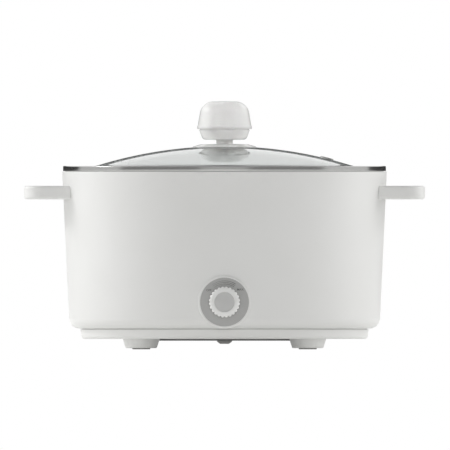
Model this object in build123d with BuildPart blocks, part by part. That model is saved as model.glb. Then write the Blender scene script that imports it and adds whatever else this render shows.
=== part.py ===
from build123d import *
import os
from math import cos, radians, sin, sqrt, tan

os.makedirs("parts", exist_ok=True)

# ---------------------------------------------------------------------------
# Driving dimensions, in millimetres. +Z is up, the front faces -Y, and the
# origin is on the surface that the feet stand on, at the middle of the body.
# ---------------------------------------------------------------------------

# Running and assembly clearances
fit_gap = 0.1             # between two pieces that are pushed or screwed together
loose_gap = 0.5           # between two pieces that drop into each other
thread_gap = 0.05         # between a screw and its hole
shaft_gap = 0.05          # running gap of the switch shaft
cut_over = 1.0            # how far a cut runs past the face that it opens
edge_break = 0.3          # slight rounding on moulded edges

# Outer shell: one polypropylene moulding, a little wider at the rim
shell_rim_r = 154.9
shell_rim_z = 169.7
shell_taper = 7.0         # how much narrower its foot is, in radius
shell_base_z = 19.8
shell_wall = 2.4
shell_heel = 10.0         # rounding where the wall turns under
shell_rim_round = 0.8
shell_lip = 3.7           # flat underside left inside the heel
ledge_wall = 2.4          # thickness of the ledge that carries the pot

# Inner pot: pressed aluminium with a non-stick coat
pot_flange_width = 7.5    # from the pot's mouth to the rim's bore
pot_taper = 6.0
pot_floor_z = 72.0
pot_wall = 2.0
pot_corner = 20.0
pot_mouth_round = 3.0
pot_flange_wall = 1.8
pot_flange_proud = 0.3    # height of the pot's flange above the shell's rim
seal_height = 1.0
seal_width = 3.6

# Base tray, closing the shell from below
tray_inset = 10.4         # of its rim from the shell's foot
tray_taper = 1.1
tray_base_z = 9.9
tray_wall = 2.4
tray_round = 3.3
tray_rim_round = 0.5
tray_step = 0.8           # dark gap between the shell and the tray
tray_step_depth = 1.4
spigot_wall = 2.0
spigot_height = 6.2

# Bottom cover
cover_lap = 8.0           # of the cover under the tray
cover_foot_gap = 3.1
cover_wall = 1.7
cover_round = 0.9
cover_spigot_height = 3.0
cover_spigot_wall = 2.0
vent_rings = (34.0, 52.0, 70.0)
vent_counts = (8, 12, 16)
vent_length = 14.0
vent_width = 3.0

# Feet
foot_inset = 24.1         # from the tray's edge to a foot's middle
foot_top_r = 17.6
foot_bottom_r = 14.8
foot_bottom_z = 1.1
foot_round = 1.6
pad_r = 8.6
pad_sunk = 1.0
pad_round = 0.5

# Screws
screw_r = 1.9
screw_head_r = 3.8
screw_head_h = 2.4
screw_slot_w = 1.0
screw_slot_depth = 1.2
screw_slot_reach = 1.2    # length of the cross, in head radii
screw_head_round = 0.45   # rounding of a head, in head heights
boss_r = 5.0
base_screw_angle = 30.0   # from +X, mirrored to all four quarters
base_screw_length = 22.0
post_top_z = 60.0
post_rib = 2.4
tray_boss_r = 6.0
tray_boss_top_z = 22.0
tray_screw_seat = 4.0     # depth of the head's seat in the tray
foot_screw_length = 14.0
foot_screw_seat = 3.9     # depth of the head's seat above the pad

# Handles
handle_gap = 19.8         # depth of the hole for the fingers
handle_width = 93.0
handle_z = 149.5
handle_height = 13.0
handle_corner = 19.8
handle_bar = 13.6         # bar that the fingers close on
handle_arm = 14.0
handle_web = 3.6          # wall against the shell
handle_hole_corner = 9.0
handle_round = 2.6
handle_hole_round = 2.0
handle_screw_angle = 14.0
handle_screw_length = 14.5

# Dial and rotary switch
bezel_r = 25.3
bezel_wall = 2.0
bezel_proud = 3.4         # of the bezel's edge in front of the shell
bezel_round = 0.9
plate_sunk = 0.3
plate_wall = 1.2
plate_hole_r = 9.0
boss_wall = 2.4           # wall behind the dial plate
boss_skin = 2.9           # wall around the hollow behind it
knob_r = 15.3
knob_front_r = 14.7
knob_proud = 10.5         # of the knob's face in front of the bezel
knob_lift = 0.3           # gap between the knob and the plate
knob_bevel = 2.6
knob_skin = 1.7
knob_inner_round = 1.0
knob_hub_r = 5.4
flute_count = 24
flute_r = 1.0
face_r = 9.4
face_wall = 0.8
face_sunk = 0.6
pointer_width = 1.3
pointer_length = 4.6
pointer_depth = 0.35
dial_off_angle = 145.0    # where the pointer rests, from +X as seen from the front
switch_side = 30.0
switch_depth = 16.0
switch_wall = 2.4
switch_cavity_r = 12.5
switch_cover_wall = 2.0
shaft_r = 3.0
bushing_r = 4.8
bushing_reach = 5.2       # length of the bushing in front of the switch
nut_across = 14.0
nut_height = 2.4
cam_r = 9.5
cam_height = 7.0
cam_notches = 4
cam_notch_r = 1.6
blade_width = 4.0
blade_wall = 0.8
blade_pitch = 7.0
blade_length = 17.5

# Heater
heater_inset = 19.0       # from the end of the pot's flat floor
heater_wall = 6.0
heater_chamfer = 1.5
tube_inset = 22.0         # of the tube's ring from the heater's edge
tube_r = 4.0
tube_gap_angle = 16.0     # half the opening of the heater's ring, at the front
tube_bend_r = 8.0
tube_leg = 8.0
bead_r = 3.2
bead_height = 4.0
pin_r = 1.4
pin_length = 12.0
stud_r = 3.0
stud_flange_r = 9.0
stud_flange_wall = 2.0
stud_in_nut = 2.2
nut_top_r = 7.2
nut_tip_r = 4.3
nut_drop = 3.0
nut_collar = 0.8          # straight part of the nut, next to the cover
nut_round = 0.8

# Heat shield
shield_overhang = 6.0     # past the heater's edge
shield_drop = 14.4        # of its underside from the heater
shield_wall = 0.6
shield_rim = 8.4
shield_bend = 2.0
shield_hole_r = 7.5
shield_centre_hole_r = 5.0
post_inset = 9.0          # of the posts from the heater's edge
post_r = 3.5
post_count = 3
shield_screw_length = 9.0
earth_tab_width = 6.0
earth_tab_wall = 0.8
earth_tab_drop = 8.0
earth_tab_x = 23.0
earth_tab_inset = 14.0    # from the shield's edge

# Thermostat and thermal fuse
thermostat_y = 40.0
thermostat_cap_r = 8.0
thermostat_cap_height = 4.0
thermostat_body_r = 6.8
thermostat_body_height = 7.0
thermostat_blade_x = 4.0
thermostat_blade_drop = 7.0
clip_length = 34.0
clip_width = 15.0
clip_wall = 0.8
clip_foot = 4.0
fuse_x = 40.0
fuse_r = 2.2
fuse_length = 14.0
fuse_wire_r = 0.7
fuse_wire_length = 7.0
fuse_clip_width = 8.0
fuse_clip_foot = 5.0

# Mains inlet at the back
inlet_proud = 13.9        # of the inlet's face behind the shell
hood_width = 58.0
hood_height = 32.0
hood_corner = 6.0
hood_wall = 2.4
hood_round = 1.5
hood_flange_wall = 2.0
hood_flange_reach = 4.0   # of the flange behind the shell's wall, past the hood
inlet_flange_width = 50.0
inlet_flange_height = 22.2
inlet_flange_wall = 2.0
inlet_corner = 3.0
inlet_body_width = 27.0
inlet_body_height = 20.0
inlet_body_depth = 28.0
inlet_mouth_width = 24.5
inlet_mouth_height = 17.0
inlet_mouth_depth = 16.0
inlet_mouth_chamfer = 3.5
inlet_pin_width = 2.0
inlet_pin_height = 4.0
inlet_pin_pitch = 7.0
inlet_pin_rise = 2.0      # earth pin up and the other two down from the middle
inlet_pin_sunk = 3.0
inlet_tab_reach = 9.0
inlet_screw_pitch = 40.0
inlet_screw_r = 1.6
inlet_screw_head_r = 3.0
inlet_screw_length = 9.0
inlet_boss_r = 3.6
inlet_boss_length = 8.0

# Insulated leads inside the base
lead_r = 1.3
lead_bend_most = 26.0

# Lid glass: tempered, a spherical dome that flattens into a level border
dome_r = 409.0
dome_rise = 19.55         # of its top above the border
glass_wall = 3.6
glass_edge_gap = 0.5
glass_blend = 42.0        # rounding between the dome and the border
glass_knob_hole_r = 5.0
vent_hole_r = 4.4
vent_x = 97.6

# Lid rim band: rolled stainless steel
band_inset = 0.9          # of the band from the shell's rim
band_height = 4.9
band_wall = 0.6
band_lip = 8.0
band_round = 0.9
skirt_gap = 1.4           # inside the pot's mouth
skirt_drop = 4.0

# Steam vent eyelet
eyelet_flange_r = 6.3
eyelet_flange_wall = 1.1
eyelet_barrel_r = 4.0
eyelet_bore_r = 2.4
eyelet_round = 0.45

# Lid knob
flange_r = 30.0
flange_top_r = 22.5
flange_edge = 0.8         # thickness left at the flange's edge
flange_rise = 2.25        # of its top above the glass
flange_fall = 0.4         # drop of its top from the neck to the shoulder
flange_shoulder = 8.0     # rounding of that shoulder
gasket_r = 17.0
gasket_wall = 0.5         # at the middle
neck_r = 7.8
neck_round = 0.8
neck_height = 3.9
cup_bottom_r = 20.9
cup_top_r = 24.1
cup_height = 9.5
cup_round = 4.5
cup_wall = 2.2
lip_height = 3.6
lip_wall = 1.6
seam_gap = 0.8
cap_lip_r = 26.0
cap_lip_height = 2.3
cap_side_r = 25.5
cap_shoulder_r = 21.5
cap_height = 26.5
cap_crown = 0.4           # rise of the top at the middle
cap_round = 12.8
cap_wall = 2.2
insert_r = 4.0
insert_bore_r = 2.1
insert_height = 12.0
under_gasket_r = 9.0
under_gasket_wall = 0.8
washer_r = 8.5
washer_wall = 1.0
knob_screw_r = 2.0
knob_screw_head_r = 4.2
knob_screw_head_h = 2.4

# ---------------------------------------------------------------------------
# Heights and radii that follow from the sizes above
# ---------------------------------------------------------------------------

shell_foot_r = shell_rim_r - shell_taper


def shell_r(z):
    """Outside radius of the shell's wall at height z."""
    share = (z - shell_base_z) / (shell_rim_z - shell_base_z)
    return shell_foot_r + (shell_rim_r - shell_foot_r) * share


dial_z = shell_base_z + bezel_r
inlet_z = dial_z
bezel_front = shell_r(dial_z) + bezel_proud                # how far in front of the middle
knob_front = bezel_front + knob_proud
inlet_back = shell_r(inlet_z) + inlet_proud                # how far behind the middle
pot_rim_z = shell_rim_z + pot_flange_proud
flange_under_z = pot_rim_z - pot_flange_wall
ledge_z = flange_under_z - seal_height
rim_bore_r = shell_rim_r - shell_wall
pot_mouth_r = rim_bore_r - pot_flange_width
pot_floor_r = pot_mouth_r - pot_taper
ledge_r = pot_mouth_r + pot_wall + loose_gap + fit_gap
shell_opening_r = shell_foot_r - shell_heel - shell_lip + fit_gap
spigot_r = shell_opening_r - fit_gap
spigot_top_z = shell_base_z + spigot_height
tray_rim_r = shell_foot_r - tray_inset
tray_foot_r = tray_rim_r - tray_taper
tray_floor_z = tray_base_z + tray_wall
foot_ring_r = tray_foot_r - foot_inset
foot_spread = foot_ring_r / sqrt(2)                        # of a foot from the middle, along X and along Y
cover_r = foot_ring_r - foot_top_r - cover_foot_gap
tray_opening_r = cover_r - cover_lap
cover_base_z = tray_base_z - cover_wall
post_pitch_r = spigot_r - spigot_wall - boss_r - 1.5 * loose_gap
post_base_z = tray_boss_top_z + loose_gap / 2
rib_start_r = post_pitch_r + 1.2 * screw_r                  # just outside the screw's hole
rib_base_z = max(spigot_top_z + loose_gap, shell_base_z + shell_heel)
boss_face = bezel_front - plate_sunk - plate_wall          # wall that the dial plate lies on
boss_back = boss_face - boss_wall
plate_front = boss_face + plate_wall
knob_back = plate_front + knob_lift
bushing_front = boss_back + bushing_reach
switch_back = boss_back - switch_depth
cam_back = boss_back - switch_wall - loose_gap - cam_height
contact_z = dial_z - blade_pitch
contact_front = cam_back - 3 * loose_gap
contact_back = contact_front - blade_length
pot_under_z = pot_floor_z - pot_wall
heater_r = pot_floor_r - pot_corner - heater_inset
tube_ring_r = heater_r - tube_inset
shield_r = heater_r + shield_overhang
post_ring_r = heater_r - post_inset
earth_tab_y = shield_r - earth_tab_inset
heater_under_z = pot_under_z - heater_wall
tube_foot_z = heater_under_z - tube_bend_r - tube_leg
terminal_tip_z = tube_foot_z - pin_length
shield_z = heater_under_z - shield_drop
shield_top_z = shield_z + shield_wall
fuse_z = shield_z - fuse_r - fit_gap
hood_panel_back = inlet_back - inlet_flange_wall
hood_panel_front = hood_panel_back - hood_wall
inlet_body_front = inlet_back - inlet_body_depth
inlet_tab_end = inlet_body_front - inlet_tab_reach
band_r = shell_rim_r - band_inset
skirt_r = pot_mouth_r - skirt_gap
band_top_z = pot_rim_z + band_height
border_under_z = pot_rim_z + band_wall
border_top_z = border_under_z + glass_wall
dome_top_z = border_top_z + dome_rise
dome_centre_z = dome_top_z - dome_r
dome_inner_r = dome_r - glass_wall
glass_edge_r = band_r - band_wall - glass_edge_gap
flange_top_z = dome_top_z + flange_rise
cup_bottom_z = flange_top_z + neck_height
cup_top_z = cup_bottom_z + cup_height
cap_base_z = cup_top_z + seam_gap
cap_top_z = cap_base_z + cap_height

four_quarters = [(1, 1), (-1, 1), (-1, -1), (1, -1)]
front_view = Plane.XZ                                      # normal towards the front, -Y
dial_axis = Axis((0, 0, dial_z), (0, 1, 0))
dial_section = Plane((0, 0, dial_z), x_dir=(1, 0, 0), z_dir=(0, 0, 1))


def dome_z(r, sphere_r=dome_r):
    """Height of a sphere about the dome's centre, r away from the lid's axis."""
    return dome_centre_z + sqrt(sphere_r**2 - r**2)


def outline(*corners):
    """Closed outline through (across, up, rounding) corners, for use in a BuildLine block."""
    FilletPolyline(*[(a, b) for a, b, _ in corners], radius=[c for _, _, c in corners], close=True)


def quarter_points(r, angle):
    """Four points at radius r, angle degrees to each side of +X and of -X."""
    x, y = r * cos(radians(angle)), r * sin(radians(angle))
    return [(x * sx, y * sy) for sx, sy in four_quarters]


def radial_plane(r, angle, z):
    """Plane at radius r that faces straight out from the middle."""
    out = Vector(cos(radians(angle)), sin(radians(angle)), 0)
    return Plane(origin=(out.X * r, out.Y * r, z), x_dir=(0, 0, 1), z_dir=out)


def cross_screw(shank_r, shank_length, head_r, head_h):
    """Pan head screw, its head's seat on z=0 and its shank along +Z."""
    with BuildPart() as screw:
        Cylinder(shank_r, shank_length, align=(Align.CENTER, Align.CENTER, Align.MIN))
        with BuildSketch():
            Circle(head_r)
        extrude(amount=-head_h)
        fillet(screw.edges().filter_by(GeomType.CIRCLE).sort_by(Axis.Z)[0], head_h * screw_head_round)
        with BuildSketch(Plane.XY.offset(-head_h)):
            Rectangle(head_r * screw_slot_reach, screw_slot_w)
            Rectangle(screw_slot_w, head_r * screw_slot_reach)
        extrude(amount=screw_slot_depth, mode=Mode.SUBTRACT)
    return screw.part


def finish(piece, name):
    """Names a finished piece and writes it."""
    piece.part.label = name
    export_step(piece.part, f"parts/{name}.step")


# ---------------------------------------------------------------------------
# Body
# ---------------------------------------------------------------------------

# Outer shell: a flared wall, a ledge for the pot, the dial boss in front, a hole
# for the inlet hood behind, four posts for the tray's screws and the handles' holes
with BuildPart() as outer_shell:
    with BuildSketch(front_view):
        with BuildLine():
            outline(
                (0, shell_base_z, 0),
                (shell_foot_r, shell_base_z, shell_heel),
                (shell_rim_r, shell_rim_z, shell_rim_round),
                (0, shell_rim_z, 0),
            )
        make_face()
    revolve(axis=Axis.Z)
    with BuildSketch(front_view.offset(bezel_front)):
        with Locations((0, dial_z)):
            Circle(bezel_r)
    extrude(amount=shell_opening_r - bezel_front)
    fillet(outer_shell.edges().filter_by(GeomType.CIRCLE).sort_by(Axis.Y)[0], bezel_round)
    with BuildSketch(front_view):
        with BuildLine():
            outline(
                (0, shell_base_z - cut_over, 0),
                (shell_opening_r, shell_base_z - cut_over, 0),
                (shell_opening_r, shell_base_z + shell_wall, 0),
                (shell_foot_r - shell_wall, shell_base_z + shell_wall, shell_heel - shell_wall),
                (shell_r(ledge_z - ledge_wall) - shell_wall, ledge_z - ledge_wall, 0),
                (ledge_r, ledge_z - ledge_wall, 0),
                (ledge_r, ledge_z, 0),
                (rim_bore_r, ledge_z, 0),
                (rim_bore_r, shell_rim_z + cut_over, 0),
                (0, shell_rim_z + cut_over, 0),
            )
        make_face()
    revolve(axis=Axis.Z, mode=Mode.SUBTRACT)
    # Hollow of the dial boss, the plate's seat and the bushing's hole
    with BuildSketch(front_view.offset(boss_back)):
        with Locations((0, dial_z)):
            Circle(bezel_r - boss_skin)
    extrude(amount=shell_opening_r - boss_back, mode=Mode.SUBTRACT)
    with BuildSketch(front_view.offset(boss_face)):
        with Locations((0, dial_z)):
            Circle(bezel_r - bezel_wall)
    extrude(amount=bezel_front - boss_face, mode=Mode.SUBTRACT)
    with BuildSketch(front_view.offset(boss_back)):
        with Locations((0, dial_z)):
            Circle(bushing_r + fit_gap)
    extrude(amount=boss_wall, mode=Mode.SUBTRACT)
    # Hole that the inlet hood is pushed through
    with BuildSketch(front_view.offset(-inlet_back)):
        with Locations((0, inlet_z)):
            RectangleRounded(hood_width + 2 * fit_gap, hood_height + 2 * fit_gap, hood_corner + fit_gap)
    extrude(amount=inlet_back - shell_opening_r, mode=Mode.SUBTRACT)
    # Posts for the tray's screws, each on a rib that follows the wall
    with BuildSketch(Plane.XY.offset(post_base_z)):
        with Locations(*quarter_points(post_pitch_r, base_screw_angle)):
            Circle(boss_r)
    extrude(amount=post_top_z - post_base_z)
    for angle in (base_screw_angle, 180 - base_screw_angle, 180 + base_screw_angle, -base_screw_angle):
        rib_plane = Plane(
            origin=(0, 0, 0),
            x_dir=(cos(radians(angle)), sin(radians(angle)), 0),
            z_dir=(sin(radians(angle)), -cos(radians(angle)), 0),
        )
        with BuildSketch(rib_plane):
            Polygon(
                (rib_start_r, rib_base_z),
                (shell_r(rib_base_z) - shell_wall / 2, rib_base_z),
                (shell_r(post_top_z) - shell_wall / 2, post_top_z),
                (rib_start_r, post_top_z),
                align=None,
            )
        extrude(amount=post_rib / 2, both=True)
    with BuildSketch(Plane.XY.offset(post_base_z)):
        with Locations(*quarter_points(post_pitch_r, base_screw_angle)):
            Circle(screw_r + thread_gap)
    extrude(amount=base_screw_length, mode=Mode.SUBTRACT)
    # Clearance holes for the handle screws
    for side in (0, 180):
        for angle in (side - handle_screw_angle, side + handle_screw_angle):
            with BuildSketch(radial_plane(pot_mouth_r, angle, handle_z)):
                Circle(screw_r + fit_gap)
            extrude(amount=shell_rim_r - pot_mouth_r + cut_over, mode=Mode.SUBTRACT)
finish(outer_shell, "outer_shell")

# Inner pot: deep drawn, its flange lying on the seal in the shell's rim
with BuildPart() as inner_pot:
    with BuildSketch(front_view):
        with BuildLine():
            outline(
                (0, pot_under_z, 0),
                (pot_floor_r + pot_wall, pot_under_z, pot_corner + pot_wall),
                (pot_mouth_r + pot_wall, flange_under_z, 0),
                (rim_bore_r - loose_gap, flange_under_z, 0),
                (rim_bore_r - loose_gap, pot_rim_z, pot_flange_wall / 3),
                (0, pot_rim_z, 0),
            )
        make_face()
    revolve(axis=Axis.Z)
    with BuildSketch(front_view):
        with BuildLine():
            outline(
                (0, pot_floor_z, 0),
                (pot_floor_r, pot_floor_z, pot_corner),
                (pot_mouth_r, pot_rim_z, 0),
                (0, pot_rim_z, 0),
            )
        make_face()
    revolve(axis=Axis.Z, mode=Mode.SUBTRACT)
    mouth_edge = inner_pot.edges().filter_by(GeomType.CIRCLE).sort_by(Axis.Z).group_by(Axis.Z)[-1]
    fillet(mouth_edge.sort_by(SortBy.RADIUS)[0], pot_mouth_round)
finish(inner_pot, "inner_pot")

# Silicone ring that the pot's flange lies on
with BuildPart() as rim_seal:
    with BuildSketch(Plane.XY.offset(ledge_z)):
        Circle(rim_bore_r - fit_gap)
        Circle(rim_bore_r - fit_gap - seal_width, mode=Mode.SUBTRACT)
    extrude(amount=seal_height)
finish(rim_seal, "rim_seal")

# Base tray: floor ring, step under the shell, spigot inside it, screw bosses
foot_points = [(foot_spread * sx, foot_spread * sy) for sx, sy in four_quarters]
with BuildPart() as base_tray:
    with BuildSketch(front_view):
        with BuildLine():
            outline(
                (tray_opening_r, tray_base_z, 0),
                (tray_foot_r, tray_base_z, tray_round),
                (tray_rim_r, shell_base_z - tray_step, tray_rim_round),
                (tray_rim_r - tray_step_depth, shell_base_z - tray_step, 0),
                (tray_rim_r - tray_step_depth, shell_base_z, 0),
                (spigot_r, shell_base_z, 0),
                (spigot_r, spigot_top_z, 0),
                (spigot_r - spigot_wall, spigot_top_z, 0),
                (spigot_r - spigot_wall, tray_floor_z, 0),
                (tray_opening_r, tray_floor_z, 0),
            )
        make_face()
    revolve(axis=Axis.Z)
    with BuildSketch(Plane.XY.offset(tray_base_z)):
        with Locations(*quarter_points(post_pitch_r, base_screw_angle)):
            Circle(tray_boss_r)
        with Locations(*foot_points):
            Circle(boss_r)
    extrude(amount=tray_boss_top_z - tray_base_z)
    with BuildSketch(Plane.XY.offset(tray_base_z)):
        with Locations(*quarter_points(post_pitch_r, base_screw_angle)):
            Circle(screw_r + fit_gap)
    extrude(amount=tray_boss_top_z - tray_base_z, mode=Mode.SUBTRACT)
    with BuildSketch(Plane.XY.offset(tray_base_z)):
        with Locations(*quarter_points(post_pitch_r, base_screw_angle)):
            Circle(screw_head_r + fit_gap)
    extrude(amount=tray_screw_seat, mode=Mode.SUBTRACT)
    with BuildSketch(Plane.XY.offset(tray_base_z)):
        with Locations(*foot_points):
            Circle(screw_r + thread_gap)
    extrude(amount=foot_screw_length, mode=Mode.SUBTRACT)
finish(base_tray, "base_tray")

# Bottom cover: a disc with slots for air, held by the nut at its middle
with BuildPart() as bottom_cover:
    with BuildSketch(Plane.XY.offset(cover_base_z)):
        Circle(cover_r)
    extrude(amount=cover_wall)
    fillet(bottom_cover.edges().filter_by(GeomType.CIRCLE).sort_by(Axis.Z)[0], cover_round)
    with BuildSketch(Plane.XY.offset(tray_base_z)):
        Circle(tray_opening_r - fit_gap)
        Circle(tray_opening_r - fit_gap - cover_spigot_wall, mode=Mode.SUBTRACT)
    extrude(amount=cover_spigot_height)
    with BuildSketch(Plane.XY.offset(cover_base_z)):
        Circle(stud_r + fit_gap)
        for ring_r, count in zip(vent_rings, vent_counts):
            with PolarLocations(ring_r, count):
                SlotOverall(vent_length, vent_width)
    extrude(amount=cover_wall, mode=Mode.SUBTRACT)
finish(bottom_cover, "bottom_cover")

# Feet and their rubber pads
foot_names = ["rear_right", "rear_left", "front_left", "front_right"]
for place, (foot_x, foot_y) in zip(foot_names, foot_points):
    with BuildPart() as foot:
        with BuildSketch(Plane((foot_x, foot_y, 0), x_dir=(1, 0, 0), z_dir=(0, -1, 0))):
            with BuildLine():
                outline(
                    (0, foot_bottom_z, 0),
                    (foot_bottom_r, foot_bottom_z, foot_round),
                    (foot_top_r, tray_base_z, 0),
                    (0, tray_base_z, 0),
                )
            make_face()
        revolve(axis=Axis((foot_x, foot_y, 0), (0, 0, 1)))
        with BuildSketch(Plane((foot_x, foot_y, foot_bottom_z))):
            Circle(pad_r + fit_gap)
        extrude(amount=pad_sunk, mode=Mode.SUBTRACT)
        with BuildSketch(Plane((foot_x, foot_y, foot_bottom_z + pad_sunk))):
            Circle(screw_head_r + fit_gap)
        extrude(amount=foot_screw_seat, mode=Mode.SUBTRACT)
        with BuildSketch(Plane((foot_x, foot_y, foot_bottom_z))):
            Circle(screw_r + fit_gap)
        extrude(amount=tray_base_z - foot_bottom_z, mode=Mode.SUBTRACT)
    finish(foot, f"foot_{place}")

    with BuildPart() as pad:
        with BuildSketch(Plane((foot_x, foot_y, 0))):
            Circle(pad_r)
        extrude(amount=foot_bottom_z + pad_sunk)
        fillet(pad.edges().filter_by(GeomType.CIRCLE).sort_by(Axis.Z)[0], pad_round)
    finish(pad, f"pad_{place}")

# Screws of the tray and of the feet
with BuildPart() as base_screws:
    with Locations(
        *[(x, y, tray_base_z + tray_screw_seat) for x, y in quarter_points(post_pitch_r, base_screw_angle)]
    ):
        add(cross_screw(screw_r, base_screw_length, screw_head_r, screw_head_h))
finish(base_screws, "base_screws")

foot_seat_z = foot_bottom_z + pad_sunk + foot_screw_seat
with BuildPart() as foot_screws:
    with Locations(*[(x, y, foot_seat_z) for x, y in foot_points]):
        add(cross_screw(screw_r, foot_screw_length, screw_head_r, screw_head_h))
finish(foot_screws, "foot_screws")

# ---------------------------------------------------------------------------
# Handles: moulded loops, screwed on from inside the shell
# ---------------------------------------------------------------------------

handle_top_z = handle_z + handle_height / 2
handle_low_z = handle_z - handle_height / 2
handle_root = shell_r(handle_z) - handle_height          # hidden start, cut away by the shell
hole_inner = shell_r(handle_top_z) + handle_web
hole_outer = hole_inner + handle_gap
handle_reach = hole_outer + handle_bar
hole_corner = min(handle_hole_corner, 0.45 * handle_gap)
for side, name in ((-1, "left_handle"), (1, "right_handle")):
    with BuildPart() as handle:
        with BuildSketch(Plane.XY.offset(handle_low_z)):
            with BuildLine():
                outline(
                    (side * handle_root, -handle_width / 2, 0),
                    (side * handle_reach, -handle_width / 2, handle_corner),
                    (side * handle_reach, handle_width / 2, handle_corner),
                    (side * handle_root, handle_width / 2, 0),
                )
            make_face()
        extrude(amount=handle_height)
        rims = handle.edges().filter_by(Plane.XY).filter_by(lambda e: abs(e.center().X) > shell_rim_r)
        fillet(rims, handle_round)
        with BuildSketch(Plane.XY.offset(handle_low_z)):
            with Locations((side * (hole_inner + hole_outer) / 2, 0)):
                RectangleRounded(
                    handle_gap, handle_width - 2 * handle_arm, hole_corner
                )
        extrude(amount=handle_height, mode=Mode.SUBTRACT)
        hole_rims = handle.edges().filter_by(Plane.XY).filter_by(
            lambda e: hole_inner - 1 < abs(e.center().X) < hole_outer + 1
            and abs(e.center().Y) < handle_width / 2 - handle_arm + 1
        )
        fillet(hole_rims, handle_hole_round)
        with BuildSketch(front_view):
            Polygon(
                (0, handle_low_z - cut_over),
                (shell_r(handle_low_z - cut_over) + fit_gap, handle_low_z - cut_over),
                (shell_r(handle_top_z + cut_over) + fit_gap, handle_top_z + cut_over),
                (0, handle_top_z + cut_over),
                align=None,
            )
        revolve(axis=Axis.Z, mode=Mode.SUBTRACT)
        facing = 90 - 90 * side
        for angle in (facing - handle_screw_angle, facing + handle_screw_angle):
            with BuildSketch(radial_plane(handle_root, angle, handle_z)):
                Circle(screw_r + thread_gap)
            extrude(
                amount=shell_r(handle_z) - shell_wall + handle_screw_length - handle_root + loose_gap,
                mode=Mode.SUBTRACT,
            )
    finish(handle, name)

handle_screw_seat = shell_r(handle_z - screw_head_r) - shell_wall - fit_gap
with BuildPart() as handle_screws:
    for side in (0, 180):
        for angle in (side - handle_screw_angle, side + handle_screw_angle):
            with Locations(radial_plane(handle_screw_seat, angle, handle_z)):
                add(cross_screw(screw_r, handle_screw_length, screw_head_r, screw_head_h))
finish(handle_screws, "handle_screws")

# ---------------------------------------------------------------------------
# Heater under the pot, and what hangs from it
# ---------------------------------------------------------------------------

with BuildPart() as heater_plate:
    with BuildSketch(Plane.XY.offset(heater_under_z)):
        Circle(heater_r)
    extrude(amount=heater_wall)
    chamfer(heater_plate.edges().filter_by(GeomType.CIRCLE).sort_by(Axis.Z)[0], heater_chamfer)
    with BuildSketch(front_view):
        with Locations((tube_ring_r, heater_under_z)):
            Circle(tube_r + fit_gap)
    revolve(axis=Axis.Z, mode=Mode.SUBTRACT)
finish(heater_plate, "heater_plate")

# Tubular heater: a ring open at the front, its two ends bent straight down
terminal_points = []
with BuildPart() as heater_tube:
    start = -90 + tube_gap_angle
    out = Vector(cos(radians(start)), sin(radians(start)), 0)
    along = Vector(-out.Y, out.X, 0)
    ring_start = out * tube_ring_r + Vector(0, 0, heater_under_z)
    with BuildSketch(Plane(origin=ring_start, x_dir=out, z_dir=along)):
        Circle(tube_r)
    revolve(axis=Axis.Z, revolution_arc=360 - 2 * tube_gap_angle)
    for turn in (1, -1):
        angle = -90 + turn * tube_gap_angle
        out = Vector(cos(radians(angle)), sin(radians(angle)), 0)
        along = Vector(-out.Y, out.X, 0)
        end = out * tube_ring_r + Vector(0, 0, heater_under_z)
        with BuildSketch(Plane(origin=end, x_dir=out, z_dir=along)):
            Circle(tube_r)
        revolve(
            axis=Axis(end - Vector(0, 0, tube_bend_r), out * turn),
            revolution_arc=90,
        )
        leg_top = end - along * (tube_bend_r * turn) - Vector(0, 0, tube_bend_r)
        with BuildSketch(Plane(origin=leg_top)):
            Circle(tube_r)
        extrude(amount=-tube_leg)
        terminal_points.append((leg_top.X, leg_top.Y))
finish(heater_tube, "heater_tube")

with BuildPart() as heater_terminals:
    with BuildSketch(Plane.XY.offset(tube_foot_z)):
        with Locations(*terminal_points):
            Circle(bead_r)
    extrude(amount=-bead_height)
    with BuildSketch(Plane.XY.offset(tube_foot_z - bead_height)):
        with Locations(*terminal_points):
            Circle(pin_r)
    extrude(amount=bead_height - pin_length)
finish(heater_terminals, "heater_terminals")

# Long stud welded under the heater plate: the nut on it holds the base together
with BuildPart() as centre_stud:
    with BuildSketch(Plane.XY.offset(heater_under_z)):
        Circle(stud_flange_r)
    extrude(amount=-stud_flange_wall)
    with BuildSketch(Plane.XY.offset(cover_base_z - stud_in_nut)):
        Circle(stud_r)
    extrude(amount=heater_under_z - cover_base_z + stud_in_nut)
finish(centre_stud, "centre_stud")

with BuildPart() as centre_nut:
    with BuildSketch(front_view):
        with BuildLine():
            outline(
                (0, cover_base_z - nut_drop, 0),
                (nut_tip_r, cover_base_z - nut_drop, nut_round),
                (nut_top_r, cover_base_z - nut_collar, edge_break),
                (nut_top_r, cover_base_z, 0),
                (0, cover_base_z, 0),
            )
        make_face()
    revolve(axis=Axis.Z)
    with BuildSketch(Plane.XY.offset(cover_base_z)):
        Circle(stud_r + thread_gap)
    extrude(amount=-stud_in_nut - fit_gap, mode=Mode.SUBTRACT)
finish(centre_nut, "centre_nut")

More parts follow.
